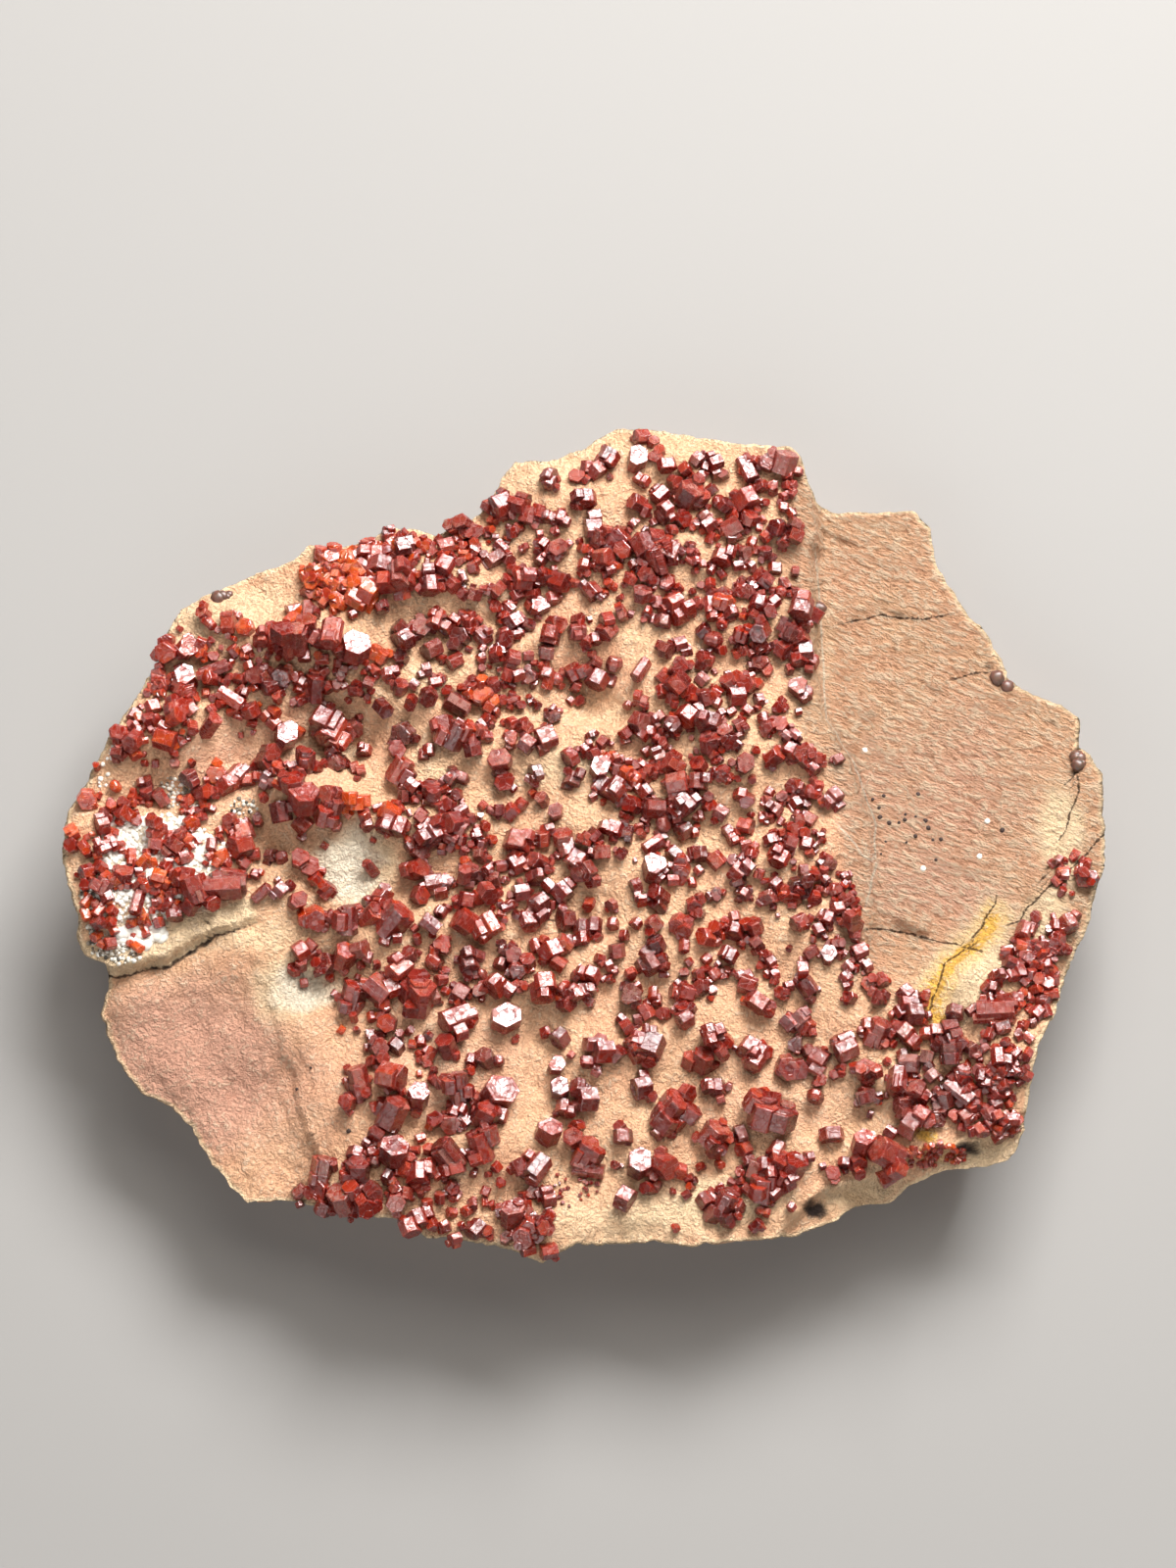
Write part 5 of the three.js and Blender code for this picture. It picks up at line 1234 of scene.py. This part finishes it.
# Two blocks grown on each large crystal, in line with it, unless its end face shines.
owner = np.repeat(np.flatnonzero(np.abs(large_axis @ glint_direction) < 0.97), 2)
count = len(owner)
block_width = large[owner, 2] * dice.uniform(0.38, 0.70, count)
block_length = large[owner, 3] * dice.uniform(0.4, 0.8, count)
around = spun(large_side[owner], large_axis[owner], dice.uniform(0.0, 2.0 * np.pi, count))
outward = 0.5 * (large[owner, 2] - 0.95 * block_width)
onward = dice.choice([-1.0, 1.0], count) * 0.54 * (large[owner, 3] - 0.8 * block_length)
block_centre = large_centre[owner] + outward[:, None] * around + onward[:, None] * large_axis[owner]
prisms(
    "crystal_blocks", block_centre, large_axis[owner], large_side[owner], block_width, block_length,
    dice.uniform(0.02, 0.05, count), dice.uniform(0.2, 0.6, count), dice.uniform(0.0, 1.0, count),
)

# The groups of smaller crystals: tone, and width as a share of the width seen.
KINDS = {
    "plain": (0.38, 0.95), "glint": (0.36, 1.04), "pink": (0.34, 1.04), "grey": (0.28, 1.04),
    "dark": (0.12, 0.95), "orange": (0.78, 0.95), "hexagon": (0.35, 0.95),
    "hexagon_glint": (0.35, 0.95), "long": (0.42, 0.66), "long_glint": (0.40, 0.66),
}
xy, width, axis, side, stretch, tone, frost = [], [], [], [], [], [], []
for kind, rows in SMALL.items():
    rows = np.array(rows, dtype=float)
    count = len(rows)
    glint, hazy, long = kind.endswith("glint"), kind in ("pink", "grey"), kind.startswith("long")
    if kind.startswith("hexagon"):
        kind_axis = scattered(glint_direction if glint else np.array([0.0, 0.0, 1.0]), 9.0, count)
        kind_side = unit(np.cross(kind_axis, dice.normal(size=(count, 3))))
    elif glint:
        kind_axis, kind_side = turned_to_light(count, 0.0, 6.5)
    elif hazy:
        kind_axis, kind_side = turned_to_light(count, 8.0, 14.0)
    elif kind == "dark":
        kind_axis, kind_side = dull(count, 24.0)
    else:
        kind_axis, kind_side = dull(count, 13.0)
        lit = dice.random(count) < 0.17 + 0.15 * smoothstep(rows[:, 0], 35.0, 50.0)
        kind_axis[lit], kind_side[lit] = turned_to_light(int(lit.sum()), 0.0, 8.0)
    kind_tone, width_share = KINDS[kind]
    xy.append(rows[:, :2])
    width.append(rows[:, 2] * width_share)
    axis.append(kind_axis)
    side.append(kind_side)
    shortest, longest = (1.5, 1.9) if long else (0.55, 0.8 if glint or hazy else 1.0)
    stretch.append(dice.uniform(shortest, longest, count))
    tone.append(kind_tone + dice.uniform(-0.15, 0.15, count))
    frost_most, frost_power = 0.35 if glint else 1.0, 0.6 if hazy else 1.1
    frost.append(frost_most * dice.uniform(0.0, 1.0, count) ** frost_power)
xy, width, axis, side = np.vstack(xy), np.concatenate(width), np.vstack(axis), np.vstack(side)
stretch, tone, frost = np.concatenate(stretch), np.concatenate(tone), np.concatenate(frost)
redder = smoothstep(-xy[:, 0], 20.0, 60.0) * smoothstep(xy[:, 1], -30.0, 10.0)
tone = tone + 0.15 * redder - 0.07 * smoothstep(xy[:, 0], 30.0, 50.0)
frost = np.clip(frost + 0.40 * smoothstep(xy[:, 0], 30.0, 50.0), 0.0, 1.0)


def seated(xy, axis, width, length, share):
    """Centres of prisms that stand out of the rock by a share of their half height."""
    up = np.abs(axis[:, 2])
    half = up * length / 2.0 + np.sqrt(1.0 - np.minimum(up, 1.0) ** 2) * width / 2.0
    return np.column_stack([xy, face_height(xy[:, 0], xy[:, 1]) + share * half])


def strew(name, chosen, share, bevel, **shape):
    """One joined piece from the chosen smaller crystals."""
    length = width[chosen] * stretch[chosen]
    centre = seated(xy[chosen], axis[chosen], width[chosen], length, share)
    prisms(name, centre, axis[chosen], side[chosen], width[chosen], length, bevel,
           tone[chosen], frost[chosen], **shape)


lot = dice.random(len(width))
ringed = (lot < 0.30) & (width > 1.5)
rounded = (lot > 0.92) & (width < 3.4)
plain_form = ~ringed & ~rounded
strew("prism_crystals", plain_form, 0.5, dice.uniform(0.02, 0.045, np.sum(plain_form)))
count = np.sum(ringed)
heads = dice.uniform(0.04, 0.10, count) * dice.choice([-1.0, 1.0], count)
strew("ringed_crystals", ringed, 0.5, 0.05, terrace=heads, terraces=2)
count = np.sum(rounded)
round_edge = dice.uniform(0.09, 0.16, count)
strew("rounded_crystals", rounded, 0.45, round_edge, taper=dice.uniform(0.06, 0.14, count))

# Companions: smaller crystals grown on the flank of the others, half of them in line with their
# host and the rest any way.
COMPANIONS = 1450
hosts_xy = np.vstack([xy, large[:, :2]])
hosts_width = np.concatenate([width, large[:, 2]])
hosts_axis, hosts_side = np.vstack([axis, large_axis]), np.vstack([side, large_side])
hosts_tone = np.concatenate([tone, np.full(len(large), 0.4)])
hosts_centre = np.vstack([seated(xy, axis, width, width * stretch, 0.5), large_centre])
chance = hosts_width**1.6 * (np.abs(hosts_axis @ glint_direction) < 0.97)
host = dice.choice(len(hosts_width), COMPANIONS, p=chance / np.sum(chance))
parallel = dice.random(COMPANIONS) < 0.5
wide, narrow = dice.uniform(0.5, 0.85, COMPANIONS), dice.uniform(0.35, 0.68, COMPANIONS)
young_width = hosts_width[host] * np.where(parallel, wide, narrow)
young_length = young_width * dice.uniform(0.6, 1.0, COMPANIONS)
away = dice.uniform(0.0, 2.0 * np.pi, COMPANIONS)
reach = 0.46 * hosts_width[host] + 0.15 * young_width
young_xy = hosts_xy[host] + reach[:, None] * np.column_stack([np.cos(away), np.sin(away)])
young_axis, young_side = dull(COMPANIONS, 9.0)
lit = dice.random(COMPANIONS) < 0.17 + 0.10 * smoothstep(young_xy[:, 0], 35.0, 50.0)
young_axis[lit], young_side[lit] = turned_to_light(int(lit.sum()), 0.0, 8.0)
young_centre = seated(young_xy, young_axis, young_width, young_length, 0.7)
wobble = 0.03 * dice.normal(size=(int(parallel.sum()), 3))
young_axis[parallel] = unit(hosts_axis[host][parallel] + wobble)
young_side[parallel] = hosts_side[host][parallel]
across = spun(hosts_side[host], hosts_axis[host], away)
along = dice.uniform(-0.3, 0.35, COMPANIONS) * hosts_width[host]
out = 0.36 * (hosts_width[host] + 0.4 * young_width)
beside = hosts_centre[host] + out[:, None] * across + along[:, None] * hosts_axis[host]
young_centre[parallel] = beside[parallel]
young_bevel = dice.uniform(0.02, 0.05, COMPANIONS)
young_tone = hosts_tone[host] + dice.uniform(-0.12, 0.15, COMPANIONS)
prisms("companion_crystals", young_centre, young_axis, young_side, young_width, young_length,
       young_bevel, young_tone, dice.uniform(0.0, 0.6, COMPANIONS))

RIM_MARGIN = 0.985


def in_ellipse(x, y, length, breadth, turn, count, gather):
    """Random places in a turned ellipse, as x and y. Each lies out from the middle by a random
    share of the way to the edge, raised to a power."""
    around, out = dice.uniform(0.0, 2.0 * np.pi, count), dice.random(count) ** gather
    along, across = length * out * np.cos(around), breadth * out * np.sin(around)
    c, s = math.cos(math.radians(turn)), math.sin(math.radians(turn))
    return x + along * c - across * s, y + along * s + across * c


def on_slab(places):
    """The rows, x and y first, that lie inside the rim."""
    out = np.hypot(places[:, 0], places[:, 1])
    return places[out < RIM_MARGIN * rim_radius(np.arctan2(places[:, 1], places[:, 0]))]


# Swarms of the smallest.
tiny = []
for x, y, length, breadth, turn, number, size, hue in SWARMS:
    count = int(1.2 * number)
    spot_x, spot_y = in_ellipse(x, y, length, breadth, turn, count, 0.5)
    spot_width = size * dice.uniform(0.6, 1.25, count)
    spot_tone = np.clip(hue + dice.uniform(-0.2, 0.2, count), 0.0, 1.0)
    tiny.append(np.column_stack([spot_x, spot_y, spot_width, spot_tone]))
tiny = on_slab(np.vstack(tiny))
count = len(tiny)
tiny_axis, tiny_side = dull(count, 5.0)
lit = dice.random(count) < 0.12 + 0.14 * smoothstep(tiny[:, 0], 40.0, 55.0)
tiny_axis[lit], tiny_side[lit] = turned_to_light(int(lit.sum()), 0.0, 8.0)
tiny_length = tiny[:, 2] * dice.uniform(0.7, 1.2, count)
tiny_centre = seated(tiny[:, :2], tiny_axis, tiny[:, 2], tiny_length, 0.5)
prisms("tiny_crystals", tiny_centre, tiny_axis, tiny_side, tiny[:, 2], tiny_length, 0.05,
       tiny[:, 3], dice.uniform(0.0, 0.5, count))

# ---------------------------------------------------------------------------------------------
# White druse, manganese specks and brown lumps
# Rounded grains of other minerals that sit fast on the rock: a white crust on the left lobe,
# near-black specks on the bare ground and a few smooth brown lumps at the rim.
# ---------------------------------------------------------------------------------------------

BALL_RINGS = 5
BALL_SIDES = 8


def lumps(name, xy, width, squash, tone, material):
    """Joined rounded grains. Each is a ball of five rings of eight points between two poles, its
    radius shaken point by point, its height squashed, and its middle set on the rock."""
    count = len(xy)
    rings = np.linspace(0.0, np.pi, BALL_RINGS + 2)[1:-1, None]
    turn = np.arange(BALL_SIDES) * 2.0 * np.pi / BALL_SIDES
    ball = flat_points(np.sin(rings) * np.cos(turn), np.sin(rings) * np.sin(turn), np.cos(rings))
    ball = np.vstack([ball.reshape(-1, 3), [[0.0, 0.0, 1.0], [0.0, 0.0, -1.0]]])
    shaken = ball * (1.0 + 0.14 * dice.uniform(-1.0, 1.0, (count, len(ball), 1)))
    shaken[..., 2] *= squash
    middle = flat_points(xy[:, 0], xy[:, 1], face_height(xy[:, 0], xy[:, 1]) + 0.08 * squash * width)
    points = middle[:, None] + 0.5 * width[:, None, None] * shaken
    first = np.arange(count)[:, None, None] * len(ball)
    grid = np.arange(BALL_RINGS * BALL_SIDES).reshape(BALL_RINGS, BALL_SIDES)
    quads = between_rings(grid[:-1], grid[1:]) + first
    crown, sole = np.full(BALL_SIDES, grid.size), np.full(BALL_SIDES, grid.size + 1)
    top = np.stack([crown, grid[0], np.roll(grid[0], -1)], axis=-1)
    bottom = np.stack([sole, np.roll(grid[-1], -1), grid[-1]], axis=-1)
    fans = np.vstack([top, bottom]) + first
    polygons = [quads.reshape(-1, 4), fans.reshape(-1, 3)]
    piece = new_piece(name, points.reshape(-1, 3), polygons, material, smooth=True)
    paint(piece, "tone", np.repeat(tone, len(ball)))
    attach(piece, "root")


def patch_of(fields):
    """Random places in ellipses, denser to the middle: x, y, half length, half width, turn in
    degrees and number of each."""
    return on_slab(np.vstack([np.column_stack(in_ellipse(*field, 0.6)) for field in fields]))


DRUSE_TONES = [
    (0.0, (0.045, 0.038, 0.030, 1.0)), (0.3, (0.30, 0.24, 0.18, 1.0)),
    (0.65, (0.74, 0.70, 0.60, 1.0)), (1.0, (0.95, 0.92, 0.85, 1.0)),
]
# Grains on the left lobe: name, their fields, least and greatest width, squash, and least and
# greatest tone from near black at 0 to white at 1.
GRAINS = [
    ("white_druse", [(-62, -1, 8, 5, 10, 560), (-64, -8.5, 6, 4, 0, 420), (-55, -3, 4, 4, 0, 200),
                     (-67, 2, 3, 3, 0, 80), (-70, 12, 3, 6, -20, 60)], 0.35, 0.9, 0.6, 0.8, 1.0),
    ("white_crust", [(-63.5, -14, 3.6, 1.6, 12, 90)], 0.9, 1.9, 0.6, 0.85, 1.0),
    ("speckled_grains", [(-70.5, -10, 1.6, 5.5, 12, 220), (-68, -16.5, 4.5, 1.8, -15, 180),
                         (-58.5, 7, 3.5, 2.2, -30, 110), (-49, 5, 2, 1.5, 0, 30)],
     0.3, 0.7, 0.8, 0.0, 1.0),
]
FLECKS = [(40.7, 14.6), (57, -1.7), (48.8, -3.8), (58.2, 3.4), (31, 12.5)]

druse_material, druse, druse_shader = new_material("white_druse")
druse.feed(druse_shader, "Base_Color", druse.tones(druse.field("tone"), DRUSE_TONES))
set_inputs(druse_shader, Roughness=0.6)
for name, fields, narrowest, widest, squash, darkest, palest in GRAINS:
    grains = patch_of(fields)
    grain_width = dice.uniform(narrowest, widest, len(grains))
    lumps(name, grains, grain_width, squash, dice.uniform(darkest, palest, len(grains)), druse_material)
flecks = np.array(FLECKS)
lumps("white_flecks", flecks, np.full(len(flecks), 0.9), 0.5, np.full(len(flecks), 0.9), druse_material)

SPECKS = [
    (41.7, 6.8), (43.3, 7.3), (48.3, 7.9), (42.6, 5.5), (42.7, 4.0), (46.4, 4.6), (47.9, 4.3), (49.3, 3.7),
    (44.0, 3.1), (45.4, 3.3), (46.3, 3.7), (49.7, 2.6), (60.3, 2.0), (47.8, 1.2), (43.5, 0.3), (46.5, 0.3),
    (50.3, 0.7), (51.5, 0.9), (42.8, -1.5), (50.7, -2.4), (-39.0, -33.5), (-41.0, -36.5), (-33.5, -43.0),
]
OXIDE_BLACK = (0.040, 0.018, 0.012, 1.0)

oxide_material, _, oxide_shader = new_material("manganese_oxide")
set_inputs(oxide_shader, Base_Color=OXIDE_BLACK, Roughness=0.6)
specks = np.array(SPECKS)
speck_width = dice.uniform(0.40, 0.75, len(specks))
lumps("manganese_specks", specks, speck_width, 0.5, np.zeros(len(specks)), oxide_material)

BROWN_FIELDS = [
    (72.4, 13.0, 1.3, 1.7, 0, 12), (-52.7, 36.6, 1.5, 0.9, 30, 7), (60.9, 25.2, 1.5, 0.8, -30, 7),
    (34.2, 36.0, 0.6, 0.6, 0, 3),
]
LUMP_BROWN = (0.15, 0.075, 0.055, 1.0)

brown_material, _, brown_shader = new_material("brown_lump")
set_inputs(brown_shader, Base_Color=LUMP_BROWN, Roughness=0.3, Subsurface_Weight=0.5, Subsurface_Scale=0.001)
brown_xy = patch_of(BROWN_FIELDS)
brown_width = dice.uniform(1.1, 2.2, len(brown_xy))
lumps("brown_lumps", brown_xy, brown_width, 0.5, np.zeros(len(brown_xy)), brown_material)
